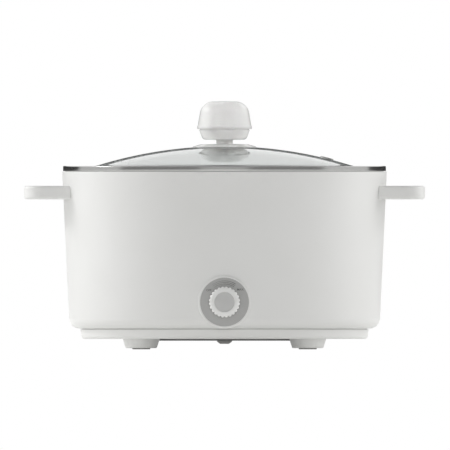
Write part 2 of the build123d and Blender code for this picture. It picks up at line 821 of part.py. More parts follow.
# Heat shield: a shallow aluminium pan on three posts under the heater
post_points = [
    (post_ring_r * cos(radians(turn)), post_ring_r * sin(radians(turn)))
    for turn in [90 + 360 * i / post_count for i in range(post_count)]
]
with BuildPart() as heat_shield:
    with BuildSketch(front_view):
        with BuildLine():
            outline(
                (shield_centre_hole_r, shield_z, 0),
                (shield_r, shield_z, shield_bend),
                (shield_r, shield_z + shield_rim, 0),
                (shield_r - shield_wall, shield_z + shield_rim, 0),
                (shield_r - shield_wall, shield_top_z, shield_bend - shield_wall),
                (shield_centre_hole_r, shield_top_z, 0),
            )
        make_face()
    revolve(axis=Axis.Z)
    with BuildSketch(Plane.XY.offset(shield_z)):
        with Locations(*terminal_points):
            Circle(shield_hole_r)
        with Locations((0, thermostat_y)):
            Circle(thermostat_cap_r + 2 * loose_gap)
        with Locations(*post_points):
            Circle(screw_r + fit_gap)
    extrude(amount=shield_wall, mode=Mode.SUBTRACT)
    with BuildSketch(Plane.XY.offset(shield_z)):
        with Locations((earth_tab_x, earth_tab_y)):
            Rectangle(earth_tab_width, earth_tab_wall)
    extrude(amount=-earth_tab_drop)
finish(heat_shield, "heat_shield")

with BuildPart() as shield_posts:
    with BuildSketch(Plane.XY.offset(shield_top_z)):
        with Locations(*post_points):
            RegularPolygon(post_r, 6)
            Circle(screw_r + thread_gap, mode=Mode.SUBTRACT)
    extrude(amount=heater_under_z - shield_top_z)
finish(shield_posts, "shield_posts")

with BuildPart() as shield_screws:
    with Locations(*[(x, y, shield_z) for x, y in post_points]):
        add(cross_screw(screw_r, shield_screw_length, screw_head_r, screw_head_h))
finish(shield_screws, "shield_screws")

# Bimetal limit thermostat against the heater plate, and its spring clip
cap_under_z = heater_under_z - thermostat_cap_height
body_under_z = cap_under_z - thermostat_body_height
with BuildPart() as limit_thermostat:
    with BuildSketch(Plane((0, thermostat_y, heater_under_z))):
        Circle(thermostat_cap_r)
    extrude(amount=-thermostat_cap_height)
    with BuildSketch(Plane((0, thermostat_y, cap_under_z))):
        Circle(thermostat_body_r)
    extrude(amount=-thermostat_body_height)
    with BuildSketch(Plane((0, thermostat_y, body_under_z))):
        with Locations((-thermostat_blade_x, 0), (thermostat_blade_x, 0)):
            Rectangle(blade_wall, blade_width)
    extrude(amount=-thermostat_blade_drop)
finish(limit_thermostat, "limit_thermostat")

with BuildPart() as thermostat_clip:
    with BuildSketch(Plane((0, thermostat_y, cap_under_z))):
        Rectangle(clip_length, clip_width)
        Circle(thermostat_body_r + fit_gap, mode=Mode.SUBTRACT)
    extrude(amount=-clip_wall)
    with BuildSketch(Plane((0, thermostat_y, cap_under_z))):
        with Locations((-(clip_length - clip_foot) / 2, 0), ((clip_length - clip_foot) / 2, 0)):
            Rectangle(clip_foot, clip_width)
    extrude(amount=thermostat_cap_height)
finish(thermostat_clip, "thermostat_clip")

# One-shot thermal fuse strapped under the heat shield
with BuildPart() as thermal_fuse:
    with BuildSketch(front_view):
        with Locations((fuse_x, fuse_z)):
            Circle(fuse_r)
    extrude(amount=fuse_length / 2, both=True)
    with BuildSketch(front_view):
        with Locations((fuse_x, fuse_z)):
            Circle(fuse_wire_r)
    extrude(amount=fuse_length / 2 + fuse_wire_length, both=True)
finish(thermal_fuse, "thermal_fuse")

fuse_seat = fuse_r + fit_gap
strap_r = fuse_seat + clip_wall
strap_reach = fuse_r + fuse_clip_foot
with BuildPart() as fuse_clip:
    with BuildSketch(front_view):
        with BuildLine():
            outline(
                (fuse_x - strap_reach, shield_z - clip_wall, 0),
                (fuse_x - strap_r, shield_z - clip_wall, 0),
                (fuse_x - strap_r, fuse_z - strap_r, fuse_r + clip_wall),
                (fuse_x + strap_r, fuse_z - strap_r, fuse_r + clip_wall),
                (fuse_x + strap_r, shield_z - clip_wall, 0),
                (fuse_x + strap_reach, shield_z - clip_wall, 0),
                (fuse_x + strap_reach, shield_z, 0),
                (fuse_x + fuse_seat, shield_z, 0),
                (fuse_x + fuse_seat, fuse_z - fuse_seat, fuse_r),
                (fuse_x - fuse_seat, fuse_z - fuse_seat, fuse_r),
                (fuse_x - fuse_seat, shield_z, 0),
                (fuse_x - strap_reach, shield_z, 0),
            )
        make_face()
    extrude(amount=fuse_clip_width / 2, both=True)
finish(fuse_clip, "fuse_clip")

# ---------------------------------------------------------------------------
# Dial and rotary switch, on one axis through the front boss
# ---------------------------------------------------------------------------

with BuildPart() as dial_plate:
    with BuildSketch(front_view.offset(boss_face)):
        with Locations((0, dial_z)):
            Circle(bezel_r - bezel_wall - fit_gap)
            Circle(plate_hole_r, mode=Mode.SUBTRACT)
    extrude(amount=plate_wall)
finish(dial_plate, "dial_plate")

with BuildPart() as switch_housing:
    with BuildSketch(front_view.offset(boss_back)):
        with Locations((0, dial_z)):
            RectangleRounded(switch_side, switch_side, switch_wall)
    extrude(amount=-switch_depth)
    with BuildSketch(front_view.offset(boss_back - switch_wall)):
        with Locations((0, dial_z)):
            Circle(switch_cavity_r)
    extrude(amount=switch_wall - switch_depth, mode=Mode.SUBTRACT)
    with BuildSketch(front_view.offset(boss_back)):
        with Locations((0, dial_z)):
            Circle(bushing_r)
    extrude(amount=bushing_reach)
    with BuildSketch(front_view.offset(bushing_front)):
        with Locations((0, dial_z)):
            Circle(shaft_r + shaft_gap)
    extrude(amount=-bushing_reach - switch_wall, mode=Mode.SUBTRACT)
finish(switch_housing, "switch_housing")

with BuildPart() as switch_cover:
    with BuildSketch(front_view.offset(switch_back)):
        with Locations((0, dial_z)):
            RectangleRounded(switch_side, switch_side, switch_wall)
            Circle(shaft_r + shaft_gap, mode=Mode.SUBTRACT)
        with Locations(*[(x, contact_z) for x in (-blade_pitch, 0, blade_pitch)]):
            Rectangle(blade_width + 2 * fit_gap, blade_wall + 2 * fit_gap, mode=Mode.SUBTRACT)
    extrude(amount=-switch_cover_wall)
finish(switch_cover, "switch_cover")

with BuildPart() as switch_contacts:
    with BuildSketch(front_view.offset(contact_front)):
        with Locations(*[(x, contact_z) for x in (-blade_pitch, 0, blade_pitch)]):
            Rectangle(blade_width, blade_wall)
    extrude(amount=-blade_length)
finish(switch_contacts, "switch_contacts")

with BuildPart() as switch_nut:
    with BuildSketch(front_view.offset(boss_face)):
        with Locations((0, dial_z)):
            RegularPolygon(nut_across / 2, 6, major_radius=False)
            Circle(bushing_r + thread_gap, mode=Mode.SUBTRACT)
    extrude(amount=nut_height)
finish(switch_nut, "switch_nut")

# Turning pieces: knob, disc, shaft and cam
recess_floor = knob_front - face_sunk - face_wall
hub_front = recess_floor - knob_skin
hub_back = bushing_front + knob_lift
flute_pitch_r = knob_r + 0.4 * flute_r
pointer_middle_r = face_r - 0.7 * pointer_length
with BuildPart() as dial_knob:
    with BuildSketch(dial_section):
        with BuildLine():
            outline(
                (0, -recess_floor, 0),
                (face_r + fit_gap, -recess_floor, 0),
                (face_r + fit_gap, -knob_front, edge_break),
                (knob_front_r, -knob_front, knob_bevel),
                (knob_r, -knob_back, 0),
                (knob_r - knob_skin, -knob_back, 0),
                (knob_front_r - knob_skin, -hub_front, knob_inner_round),
                (knob_hub_r, -hub_front, 0),
                (knob_hub_r, -hub_back, 0),
                (shaft_r + thread_gap, -hub_back, 0),
                (shaft_r + thread_gap, -hub_front, 0),
                (0, -hub_front, 0),
            )
        make_face()
    revolve(axis=dial_axis)
    with BuildSketch(front_view.offset(knob_back)):
        with Locations((0, dial_z)):
            with PolarLocations(flute_pitch_r, flute_count, start_angle=-90):
                Circle(flute_r)
    extrude(amount=knob_front - knob_back - knob_bevel, mode=Mode.SUBTRACT)
finish(dial_knob, "dial_knob")

with BuildPart() as dial_face:
    with BuildSketch(front_view.offset(recess_floor)):
        with Locations((0, dial_z)):
            Circle(face_r)
    extrude(amount=face_wall)
    with BuildSketch(front_view.offset(recess_floor + face_wall)):
        with Locations((0, dial_z)):
            with PolarLocations(pointer_middle_r, 1, start_angle=dial_off_angle):
                SlotOverall(pointer_length, pointer_width)
    extrude(amount=-pointer_depth, mode=Mode.SUBTRACT)
finish(dial_face, "dial_face")

with BuildPart() as switch_shaft:
    with BuildSketch(front_view.offset(hub_front - loose_gap / 2)):
        with Locations((0, dial_z)):
            Circle(shaft_r)
    extrude(amount=switch_back - switch_cover_wall - hub_front + loose_gap / 2)
finish(switch_shaft, "switch_shaft")

with BuildPart() as switch_cam:
    with BuildSketch(front_view.offset(cam_back)):
        with Locations((0, dial_z)):
            Circle(cam_r)
            Circle(shaft_r + thread_gap, mode=Mode.SUBTRACT)
            with PolarLocations(cam_r, cam_notches):
                Circle(cam_notch_r, mode=Mode.SUBTRACT)
    extrude(amount=cam_height)
finish(switch_cam, "switch_cam")

# ---------------------------------------------------------------------------
# Mains inlet in the hood at the back
# ---------------------------------------------------------------------------

inlet_pin_points = [
    (-inlet_pin_pitch, inlet_z - inlet_pin_rise),
    (0, inlet_z + inlet_pin_rise),
    (inlet_pin_pitch, inlet_z - inlet_pin_rise),
]
inlet_screw_places = [(-inlet_screw_pitch / 2, inlet_z), (inlet_screw_pitch / 2, inlet_z)]
with BuildPart() as inlet_socket:
    with BuildSketch(front_view.offset(-inlet_back)):
        with Locations((0, inlet_z)):
            RectangleRounded(inlet_flange_width, inlet_flange_height, inlet_corner)
    extrude(amount=inlet_flange_wall)
    with BuildSketch(front_view.offset(-inlet_back)):
        with Locations((0, inlet_z)):
            RectangleRounded(inlet_body_width, inlet_body_height, inlet_corner)
    extrude(amount=inlet_body_depth)
    half_width, half_height = inlet_mouth_width / 2, inlet_mouth_height / 2
    with BuildSketch(front_view.offset(-inlet_back)):
        with Locations((0, inlet_z)):
            Polygon(
                (-half_width, -half_height),
                (half_width, -half_height),
                (half_width, half_height - inlet_mouth_chamfer),
                (half_width - inlet_mouth_chamfer, half_height),
                (inlet_mouth_chamfer - half_width, half_height),
                (-half_width, half_height - inlet_mouth_chamfer),
                align=None,
            )
    extrude(amount=inlet_mouth_depth, mode=Mode.SUBTRACT)
    with BuildSketch(front_view.offset(-inlet_back + inlet_mouth_depth)):
        with Locations(*inlet_pin_points):
            Rectangle(inlet_pin_width + fit_gap, inlet_pin_height + fit_gap)
    extrude(amount=inlet_body_depth - inlet_mouth_depth, mode=Mode.SUBTRACT)
    with BuildSketch(front_view.offset(-inlet_back)):
        with Locations(*inlet_screw_places):
            Circle(inlet_screw_r + fit_gap)
    extrude(amount=inlet_flange_wall, mode=Mode.SUBTRACT)
    with BuildSketch(front_view.offset(-inlet_back)):
        with Locations(*inlet_screw_places):
            Circle(inlet_screw_head_r + fit_gap)
    extrude(amount=inlet_flange_wall / 2, mode=Mode.SUBTRACT)
finish(inlet_socket, "inlet_socket")

with BuildPart() as inlet_pins:
    with BuildSketch(front_view.offset(-inlet_back + inlet_pin_sunk)):
        with Locations(*inlet_pin_points):
            Rectangle(inlet_pin_width, inlet_pin_height)
    extrude(amount=inlet_back - inlet_pin_sunk - inlet_tab_end)
finish(inlet_pins, "inlet_pins")

# Hood: pushed through the shell's hole from inside, its flange against the wall
hood_flange_low = shell_base_z + shell_heel
hood_flange_high = inlet_z + hood_height / 2 + hood_flange_reach
hood_flange_half = hood_width / 2 + hood_flange_reach
hood_seat = shell_wall + fit_gap
hood_flange_back = hood_seat + hood_flange_wall
with BuildPart() as hood_flange:
    with BuildSketch(front_view):
        Polygon(
            (shell_r(hood_flange_low) - hood_flange_back, hood_flange_low),
            (shell_r(hood_flange_low) - hood_seat, hood_flange_low),
            (shell_r(hood_flange_high) - hood_seat, hood_flange_high),
            (shell_r(hood_flange_high) - hood_flange_back, hood_flange_high),
            align=None,
        )
    revolve(axis=Axis.Z)
    with BuildSketch(front_view):
        with Locations((0, (hood_flange_low + hood_flange_high) / 2)):
            Rectangle(2 * hood_flange_half, hood_flange_high - hood_flange_low)
    extrude(amount=-inlet_back, mode=Mode.INTERSECT)

with BuildPart() as inlet_hood:
    with BuildSketch(front_view.offset(-inlet_back)):
        with Locations((0, inlet_z)):
            RectangleRounded(hood_width, hood_height, hood_corner)
    extrude(amount=inlet_back - shell_opening_r)
    fillet(inlet_hood.edges().filter_by(Plane.XZ).group_by(Axis.Y)[-1], hood_round)
    with BuildSketch(front_view):
        Polygon(
            (0, shell_base_z),
            (shell_r(shell_base_z) - hood_flange_back, shell_base_z),
            (shell_r(hood_flange_high) - hood_flange_back, hood_flange_high),
            (0, hood_flange_high),
            align=None,
        )
    revolve(axis=Axis.Z, mode=Mode.SUBTRACT)
    add(hood_flange.part)
    with BuildSketch(front_view.offset(-hood_panel_front)):
        with Locations((0, inlet_z)):
            RectangleRounded(
                hood_width - 2 * hood_wall, hood_height - 2 * hood_wall, hood_corner - hood_wall
            )
    extrude(amount=hood_panel_front - shell_opening_r, mode=Mode.SUBTRACT)
    with BuildSketch(front_view.offset(-hood_panel_front)):
        with Locations(*inlet_screw_places):
            Circle(inlet_boss_r)
    extrude(amount=inlet_boss_length)
    with BuildSketch(front_view.offset(-inlet_back)):
        with Locations((0, inlet_z)):
            RectangleRounded(
                inlet_flange_width + 2 * fit_gap, inlet_flange_height + 2 * fit_gap, inlet_corner
            )
    extrude(amount=inlet_flange_wall, mode=Mode.SUBTRACT)
    with BuildSketch(front_view.offset(-hood_panel_back)):
        with Locations((0, inlet_z)):
            RectangleRounded(
                inlet_body_width + loose_gap, inlet_body_height + loose_gap, inlet_corner
            )
    extrude(amount=hood_wall, mode=Mode.SUBTRACT)
    with BuildSketch(front_view.offset(-hood_panel_back)):
        with Locations(*inlet_screw_places):
            Circle(inlet_screw_r + thread_gap)
    extrude(amount=inlet_screw_length, mode=Mode.SUBTRACT)
finish(inlet_hood, "inlet_hood")

inlet_seat = inlet_back - inlet_flange_wall / 2
with BuildPart() as inlet_screws:
    for x, z in inlet_screw_places:
        with Locations(Plane((x, inlet_seat, z), x_dir=(1, 0, 0), z_dir=(0, -1, 0))):
            add(
                cross_screw(
                    inlet_screw_r,
                    inlet_screw_length,
                    inlet_screw_head_r,
                    inlet_flange_wall / 2 - thread_gap,
                )
            )
finish(inlet_screws, "inlet_screws")

# ---------------------------------------------------------------------------
# Leads inside the base, laid under the heat shield
# ---------------------------------------------------------------------------


def bend_radii(points):
    """Radius of each corner of a lead, as large as its two runs leave room for."""
    radii = []
    for before, corner, after in zip(points, points[1:], points[2:]):
        run_in, run_out = corner - before, after - corner
        half_turn = radians(run_in.get_angle(run_out)) / 2
        room = 0.45 * min(run_in.length, run_out.length) / tan(half_turn)
        radii.append(min(lead_bend_most, room))
    return radii


contact_y = -contact_back
low_pin_z, high_pin_z = inlet_z - inlet_pin_rise, inlet_z + inlet_pin_rise
blade_tip_z = body_under_z - thermostat_blade_drop
(right_x, right_y), (left_x, left_y) = terminal_points
fuse_end = fuse_length / 2 + fuse_wire_length
earth_tab_z = shield_z - earth_tab_drop

# Points that each lead is laid through, from its first end to its second
lead_routes = {
    "live_lead": [
        (-inlet_pin_pitch, inlet_tab_end, low_pin_z),
        (-inlet_pin_pitch, inlet_tab_end - 18, low_pin_z - 1),
        (-26, 84, 36),
        (-46, 48, 29),
        (-54, 2, 26),
        (-46, -44, 27),
        (-26, -84, 33),
        (-blade_pitch, contact_y + 16, contact_z),
        (-blade_pitch, contact_y, contact_z),
    ],
    "switch_lead": [
        (0, contact_y, contact_z),
        (0, contact_y + 15, contact_z - 1),
        (3, -82, 31),
        (11, -44, 27),
        (14, -4, 26),
        (9, 26, 29),
        (thermostat_blade_x, thermostat_y - 2, 33),
        (thermostat_blade_x, thermostat_y, blade_tip_z),
    ],
    "thermostat_lead": [
        (-thermostat_blade_x, thermostat_y, blade_tip_z),
        (-thermostat_blade_x, thermostat_y - 2, 33),
        (-12, 22, 27),
        (-19, -12, 25),
        (-21, -48, 25),
        (left_x - 3, left_y + 8, 24),
        (left_x, left_y, terminal_tip_z - 8),
        (left_x, left_y, terminal_tip_z),
    ],
    "fuse_lead": [
        (right_x, right_y, terminal_tip_z),
        (right_x, right_y, terminal_tip_z - 8),
        (right_x + 6, right_y + 8, 24),
        (30, -52, 28),
        (fuse_x, -40, 40),
        (fuse_x, -fuse_end - 10, fuse_z),
        (fuse_x, -fuse_end, fuse_z),
    ],
    "neutral_lead": [
        (fuse_x, fuse_end, fuse_z),
        (fuse_x, fuse_end + 12, fuse_z - 1),
        (36, 50, 40),
        (24, 78, 37),
        (inlet_pin_pitch, inlet_tab_end - 20, low_pin_z - 2),
        (inlet_pin_pitch, inlet_tab_end, low_pin_z),
    ],
    "earth_lead": [
        (0, inlet_tab_end, high_pin_z),
        (0, inlet_tab_end - 12, high_pin_z - 1),
        (2, 104, 38),
        (9, 95, 31),
        (earth_tab_x, earth_tab_y, 30),
        (earth_tab_x, earth_tab_y, earth_tab_z),
    ],
}
for name, route in lead_routes.items():
    corners = [Vector(*point) for point in route]
    with BuildPart() as lead:
        with BuildLine() as path:
            FilletPolyline(*corners, radius=bend_radii(corners))
        with BuildSketch(Plane(origin=path.wire() @ 0, z_dir=path.wire() % 0)):
            Circle(lead_r)
        sweep(path=path.wire())
    finish(lead, name)

# ---------------------------------------------------------------------------
# Lid: glass, steel band, steam vent and knob
# ---------------------------------------------------------------------------

border_corner_r = sqrt(dome_r**2 - (border_top_z - dome_centre_z) ** 2)
border_inner_corner_r = sqrt(dome_inner_r**2 - (border_under_z - dome_centre_z) ** 2)
vent_point = Vector(vent_x, 0, dome_z(vent_x))
vent_plane = Plane(
    origin=vent_point,
    x_dir=(0, 1, 0),
    z_dir=vent_point - Vector(0, 0, dome_centre_z),
)

with BuildPart() as lid_glass:
    with BuildSketch(front_view) as glass_section:
        with BuildLine():
            ThreePointArc(
                (glass_knob_hole_r, dome_z(glass_knob_hole_r)),
                (border_corner_r / 2, dome_z(border_corner_r / 2)),
                (border_corner_r, border_top_z),
            )
            Polyline(
                (border_corner_r, border_top_z),
                (glass_edge_r, border_top_z),
                (glass_edge_r, border_under_z),
                (border_inner_corner_r, border_under_z),
            )
            ThreePointArc(
                (border_inner_corner_r, border_under_z),
                (border_inner_corner_r / 2, dome_z(border_inner_corner_r / 2, dome_inner_r)),
                (glass_knob_hole_r, dome_z(glass_knob_hole_r, dome_inner_r)),
            )
            Line(
                (glass_knob_hole_r, dome_z(glass_knob_hole_r, dome_inner_r)),
                (glass_knob_hole_r, dome_z(glass_knob_hole_r)),
            )
        make_face()
        top_corner = glass_section.vertices().sort_by_distance((border_corner_r, border_top_z, 0))[0]
        fillet(top_corner, glass_blend)
        under_corner = glass_section.vertices().sort_by_distance(
            (border_inner_corner_r, border_under_z, 0)
        )[0]
        fillet(under_corner, glass_blend + glass_wall)
    revolve(axis=Axis.Z)
    with BuildSketch(vent_plane):
        Circle(vent_hole_r)
    extrude(amount=1.5 * glass_wall, both=True, mode=Mode.SUBTRACT)
finish(lid_glass, "lid_glass")

# Band: one rolled strip that wraps the glass, with a skirt into the pot's mouth
with BuildPart() as lid_rim_band:
    with BuildSketch(front_view):
        with BuildLine():
            outline(
                (band_r, pot_rim_z, band_wall),
                (band_r, band_top_z, band_round),
                (band_r - band_lip, band_top_z, 0),
                (band_r - band_lip, band_top_z - band_wall, 0),
                (band_r - band_wall, band_top_z - band_wall, 0),
                (band_r - band_wall, border_under_z, 0),
                (skirt_r - band_wall, border_under_z, 0),
                (skirt_r - band_wall, pot_rim_z - skirt_drop, 0),
                (skirt_r, pot_rim_z - skirt_drop, 0),
                (skirt_r, pot_rim_z, 0),
            )
        make_face()
    revolve(axis=Axis.Z)
finish(lid_rim_band, "lid_rim_band")

# Steam vent: a steel eyelet swaged through the glass, square to the dome
with BuildPart() as vent_eyelet:
    with BuildSketch(vent_plane.offset(fit_gap)):
        Circle(eyelet_flange_r)
    extrude(amount=eyelet_flange_wall)
    fillet(vent_eyelet.edges().filter_by(GeomType.CIRCLE).sort_by(Axis.Z)[-1], eyelet_round)
    with BuildSketch(vent_plane.offset(fit_gap)):
        Circle(eyelet_barrel_r)
    extrude(amount=-glass_wall - 2 * fit_gap)
    with BuildSketch(vent_plane.offset(-glass_wall - fit_gap)):
        Circle(eyelet_flange_r - eyelet_flange_wall)
    extrude(amount=-eyelet_flange_wall / 2)
    with BuildSketch(vent_plane.offset(eyelet_flange_wall + fit_gap)):
        Circle(eyelet_bore_r)
    extrude(amount=-2 * eyelet_flange_wall - glass_wall - 2 * fit_gap, mode=Mode.SUBTRACT)
finish(vent_eyelet, "vent_eyelet")

# Knob's flange, hollowed to the dome, with a pocket for the gasket
screw_pass_r = knob_screw_r + 4 * fit_gap
flange_edge_z = dome_z(flange_r) + flange_edge
pocket_z = dome_top_z + gasket_wall
with BuildPart() as knob_flange:
    with BuildSketch(front_view):
        with BuildLine():
            outline(
                (screw_pass_r, flange_edge_z - 2 * flange_edge, 0),
                (flange_r, flange_edge_z - 2 * flange_edge, 0),
                (flange_r, flange_edge_z, edge_break),
                (flange_top_r, flange_top_z - flange_fall, flange_shoulder),
                (screw_pass_r, flange_top_z, 0),
            )
        make_face()
    revolve(axis=Axis.Z)
    with Locations((0, 0, dome_centre_z)):
        Sphere(dome_r + fit_gap, mode=Mode.SUBTRACT)
    with BuildSketch(Plane.XY.offset(pocket_z)):
        Circle(gasket_r + fit_gap)
    extrude(amount=-glass_wall, mode=Mode.SUBTRACT)
finish(knob_flange, "knob_flange")

with BuildPart() as knob_gasket:
    with BuildSketch(Plane.XY.offset(pocket_z)):
        Circle(gasket_r)
        Circle(glass_knob_hole_r, mode=Mode.SUBTRACT)
    extrude(amount=-glass_wall / 2)
    with Locations((0, 0, dome_centre_z)):
        Sphere(dome_r + thread_gap, mode=Mode.SUBTRACT)
finish(knob_gasket, "knob_gasket")

# Knob's lower cup, with the neck, the insert's boss and the lip for the cap
insert_base_z = cup_bottom_z + 2 * loose_gap
insert_top_z = insert_base_z + insert_height
lip_r = cap_side_r - cap_wall - fit_gap
insert_boss_r = insert_r + cup_wall
with BuildPart() as knob_base:
    with BuildSketch(front_view):
        with BuildLine():
            outline(
                (screw_pass_r, flange_top_z, 0),
                (neck_r, flange_top_z, 0),
                (neck_r, cup_bottom_z, neck_round),
                (cup_bottom_r, cup_bottom_z, cup_round),
                (cup_top_r, cup_top_z, edge_break),
                (lip_r, cup_top_z, 0),
                (lip_r, cup_top_z + lip_height, edge_break),
                (lip_r - lip_wall, cup_top_z + lip_height, edge_break),
                (lip_r - lip_wall, cup_top_z, 0),
                (cup_bottom_r - cup_wall, cup_bottom_z + cup_wall, cup_round - cup_wall),
                (insert_boss_r, cup_bottom_z + cup_wall, 0),
                (insert_boss_r, insert_top_z, 0),
                (insert_r + thread_gap, insert_top_z, 0),
                (insert_r + thread_gap, insert_base_z, 0),
                (screw_pass_r, insert_base_z, 0),
            )
        make_face()
    revolve(axis=Axis.Z)
finish(knob_base, "knob_base")

with BuildPart() as knob_cap:
    with BuildSketch(front_view):
        with BuildLine():
            outline(
                (0, cap_top_z, 0),
                (cap_shoulder_r, cap_top_z - cap_crown, cap_round),
                (cap_side_r, cap_base_z + 1.5 * cap_lip_height, 0),
                (cap_lip_r, cap_base_z + cap_lip_height, 0),
                (cap_lip_r, cap_base_z, edge_break),
                (cap_side_r - cap_wall, cap_base_z, 0),
                (cap_side_r - cap_wall, cap_base_z + 1.5 * cap_lip_height, 0),
                (cap_shoulder_r - cap_wall, cap_top_z - cap_crown - cap_wall, cap_round - cap_wall),
                (0, cap_top_z - cap_wall, 0),
            )
        make_face()
    revolve(axis=Axis.Z)
finish(knob_cap, "knob_cap")

with BuildPart() as knob_insert:
    with BuildSketch(Plane.XY.offset(insert_base_z)):
        Circle(insert_r)
        Circle(insert_bore_r, mode=Mode.SUBTRACT)
    extrude(amount=insert_height)
finish(knob_insert, "knob_insert")

under_gasket_top_z = dome_z(under_gasket_r, dome_inner_r) - thread_gap
washer_top_z = under_gasket_top_z - under_gasket_wall
screw_seat_z = washer_top_z - washer_wall
with BuildPart() as under_gasket:
    with BuildSketch(Plane.XY.offset(washer_top_z)):
        Circle(under_gasket_r)
        Circle(screw_pass_r, mode=Mode.SUBTRACT)
    extrude(amount=under_gasket_wall)
finish(under_gasket, "under_gasket")

with BuildPart() as knob_washer:
    with BuildSketch(Plane.XY.offset(screw_seat_z)):
        Circle(washer_r)
        Circle(knob_screw_r + fit_gap, mode=Mode.SUBTRACT)
    extrude(amount=washer_wall)
finish(knob_washer, "knob_washer")

with BuildPart() as knob_screw:
    with Locations((0, 0, screw_seat_z)):
        add(
            cross_screw(
                knob_screw_r,
                insert_top_z - screw_seat_z - loose_gap,
                knob_screw_head_r,
                knob_screw_head_h,
            )
        )
finish(knob_screw, "knob_screw")
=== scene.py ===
from math import atan2, cos, degrees, pi, radians, sin, sqrt

import bmesh
import bpy
from mathutils import Matrix, Vector


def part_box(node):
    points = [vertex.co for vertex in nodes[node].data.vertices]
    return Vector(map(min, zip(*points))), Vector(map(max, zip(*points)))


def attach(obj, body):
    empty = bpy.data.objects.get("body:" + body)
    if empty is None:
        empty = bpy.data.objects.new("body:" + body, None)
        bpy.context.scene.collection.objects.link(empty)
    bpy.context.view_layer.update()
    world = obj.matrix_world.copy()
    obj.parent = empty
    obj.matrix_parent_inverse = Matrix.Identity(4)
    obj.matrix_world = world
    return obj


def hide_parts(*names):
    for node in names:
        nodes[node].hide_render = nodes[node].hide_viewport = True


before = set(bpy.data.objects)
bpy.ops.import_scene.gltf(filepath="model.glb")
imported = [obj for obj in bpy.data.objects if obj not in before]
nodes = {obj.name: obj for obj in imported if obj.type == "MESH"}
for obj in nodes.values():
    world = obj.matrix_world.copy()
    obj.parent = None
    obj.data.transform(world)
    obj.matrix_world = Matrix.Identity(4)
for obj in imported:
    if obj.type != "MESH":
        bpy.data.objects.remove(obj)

scene = bpy.context.scene
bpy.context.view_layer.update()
mm = 0.001

# --------------------
# Camera: square to the front of the pot and level with it, on so long a lens
# that upright lines stay upright
# --------------------

view_width = 429.3
view_side = 0.48              # of the camera's axis to the right of the pot's
view_height = 118.6           # and above the floor
view_distance = 2000
camera_data = bpy.data.cameras.new("camera")
camera_data.type = "ORTHO"
camera_data.ortho_scale = view_width * mm
camera = bpy.data.objects.new("camera", camera_data)
scene.collection.objects.link(camera)
camera.location = (view_side * mm, -view_distance * mm, view_height * mm)
camera.rotation_euler = (pi / 2, 0, 0)
scene.camera = camera

# --------------------
# Studio: a white surround, a floor of matt white paper that glows faintly, and
# lamps. Sheets of darker cloth, at the horizon and overhead, give polished steel,
# glass and the glossy knob their dark edges.
# --------------------


def linear(colour):
    """The linear value of an sRGB hex colour."""
    shares = [int(colour[i:i + 2], 16) / 255 for i in (1, 3, 5)]
    return (*[c / 12.92 if c <= 0.04045 else ((c + 0.055) / 1.055) ** 2.4 for c in shares], 1.0)


def add(tree, kind, links=None, **settings):
    """Adds a node. Each of its inputs named in links gets a value, or a link from a node or socket."""
    node = tree.nodes.new(kind)
    for name, value in settings.items():
        setattr(node, name, value)
    for name, value in (links or {}).items():
        if isinstance(value, bpy.types.Node):
            value = next(socket for socket in value.outputs if socket.enabled)
        if isinstance(value, bpy.types.NodeSocket):
            tree.links.new(value, node.inputs[name])
        else:
            node.inputs[name].default_value = value
    return node


def new_finish(name):
    """An empty material, its tree, and the coordinates of the piece that it is on."""
    material = bpy.data.materials.new(name)
    material.use_nodes = True
    tree = material.node_tree
    tree.nodes.clear()
    return material, tree, add(tree, "ShaderNodeTexCoord").outputs["Object"]


def for_the_eye(tree):
    """1 for a ray from the eye, straight or by way of gloss or glass; 0 for one that gathers light."""
    path = add(tree, "ShaderNodeLightPath")
    passed = add(tree, "ShaderNodeMath", {0: path.outputs["Is Glossy Ray"],
                                          1: path.outputs["Is Transmission Ray"]}, operation="MAXIMUM")
    return add(tree, "ShaderNodeMath", {0: path.outputs["Is Camera Ray"], 1: passed}, operation="MAXIMUM")


surround_light = 0.40         # strength of the surround as a light
world = bpy.data.worlds.new("studio")
world.use_nodes = True
scene.world = world
tree = world.node_tree
tree.nodes.clear()
seen = for_the_eye(tree)
lit = add(tree, "ShaderNodeBackground", {"Color": linear("#FFFFFF"), "Strength": surround_light})
shown = add(tree, "ShaderNodeBackground", {"Color": linear("#FFFFFF"), "Strength": 1.0})
mixed = add(tree, "ShaderNodeMixShader", {0: seen, 1: lit, 2: shown})
add(tree, "ShaderNodeOutputWorld", {"Surface": mixed})


def stage_sheet(name, corners, faces, material, mirrored_only):
    """A sheet of the stage. One that is mirrored only shows in gloss and takes no light away."""
    mesh = bpy.data.meshes.new(name)
    mesh.from_pydata(corners, [], faces)
    mesh.materials.append(material)
    sheet = bpy.data.objects.new(name, mesh)
    scene.collection.objects.link(sheet)
    for ray in ("camera", "diffuse", "transmission", "shadow"):
        setattr(sheet, "visible_" + ray, not mirrored_only)


floor_half = 5.0
floor_glow = 0.10             # strength of the paper as a light
floor_lift = 0.34             # more glow that only the eye sees, so that the floor joins the surround
floor_paper, tree, place = new_finish("matt studio paper")
seen = for_the_eye(tree)
lift = add(tree, "ShaderNodeMath", {0: seen, 1: floor_lift, 2: floor_glow}, operation="MULTIPLY_ADD")
paper = add(tree, "ShaderNodeBsdfDiffuse", {"Color": linear("#EEEEEC")})
glow = add(tree, "ShaderNodeEmission", {"Color": linear("#FFFFFF"), "Strength": lift})
both = add(tree, "ShaderNodeAddShader", {0: paper, 1: glow})
add(tree, "ShaderNodeOutputMaterial", {"Surface": both})
stage_sheet("floor", [(x * floor_half, y * floor_half, 0) for x, y in ((-1, -1), (1, -1), (1, 1), (-1, 1))],
            [(0, 1, 2, 3)], floor_paper, False)

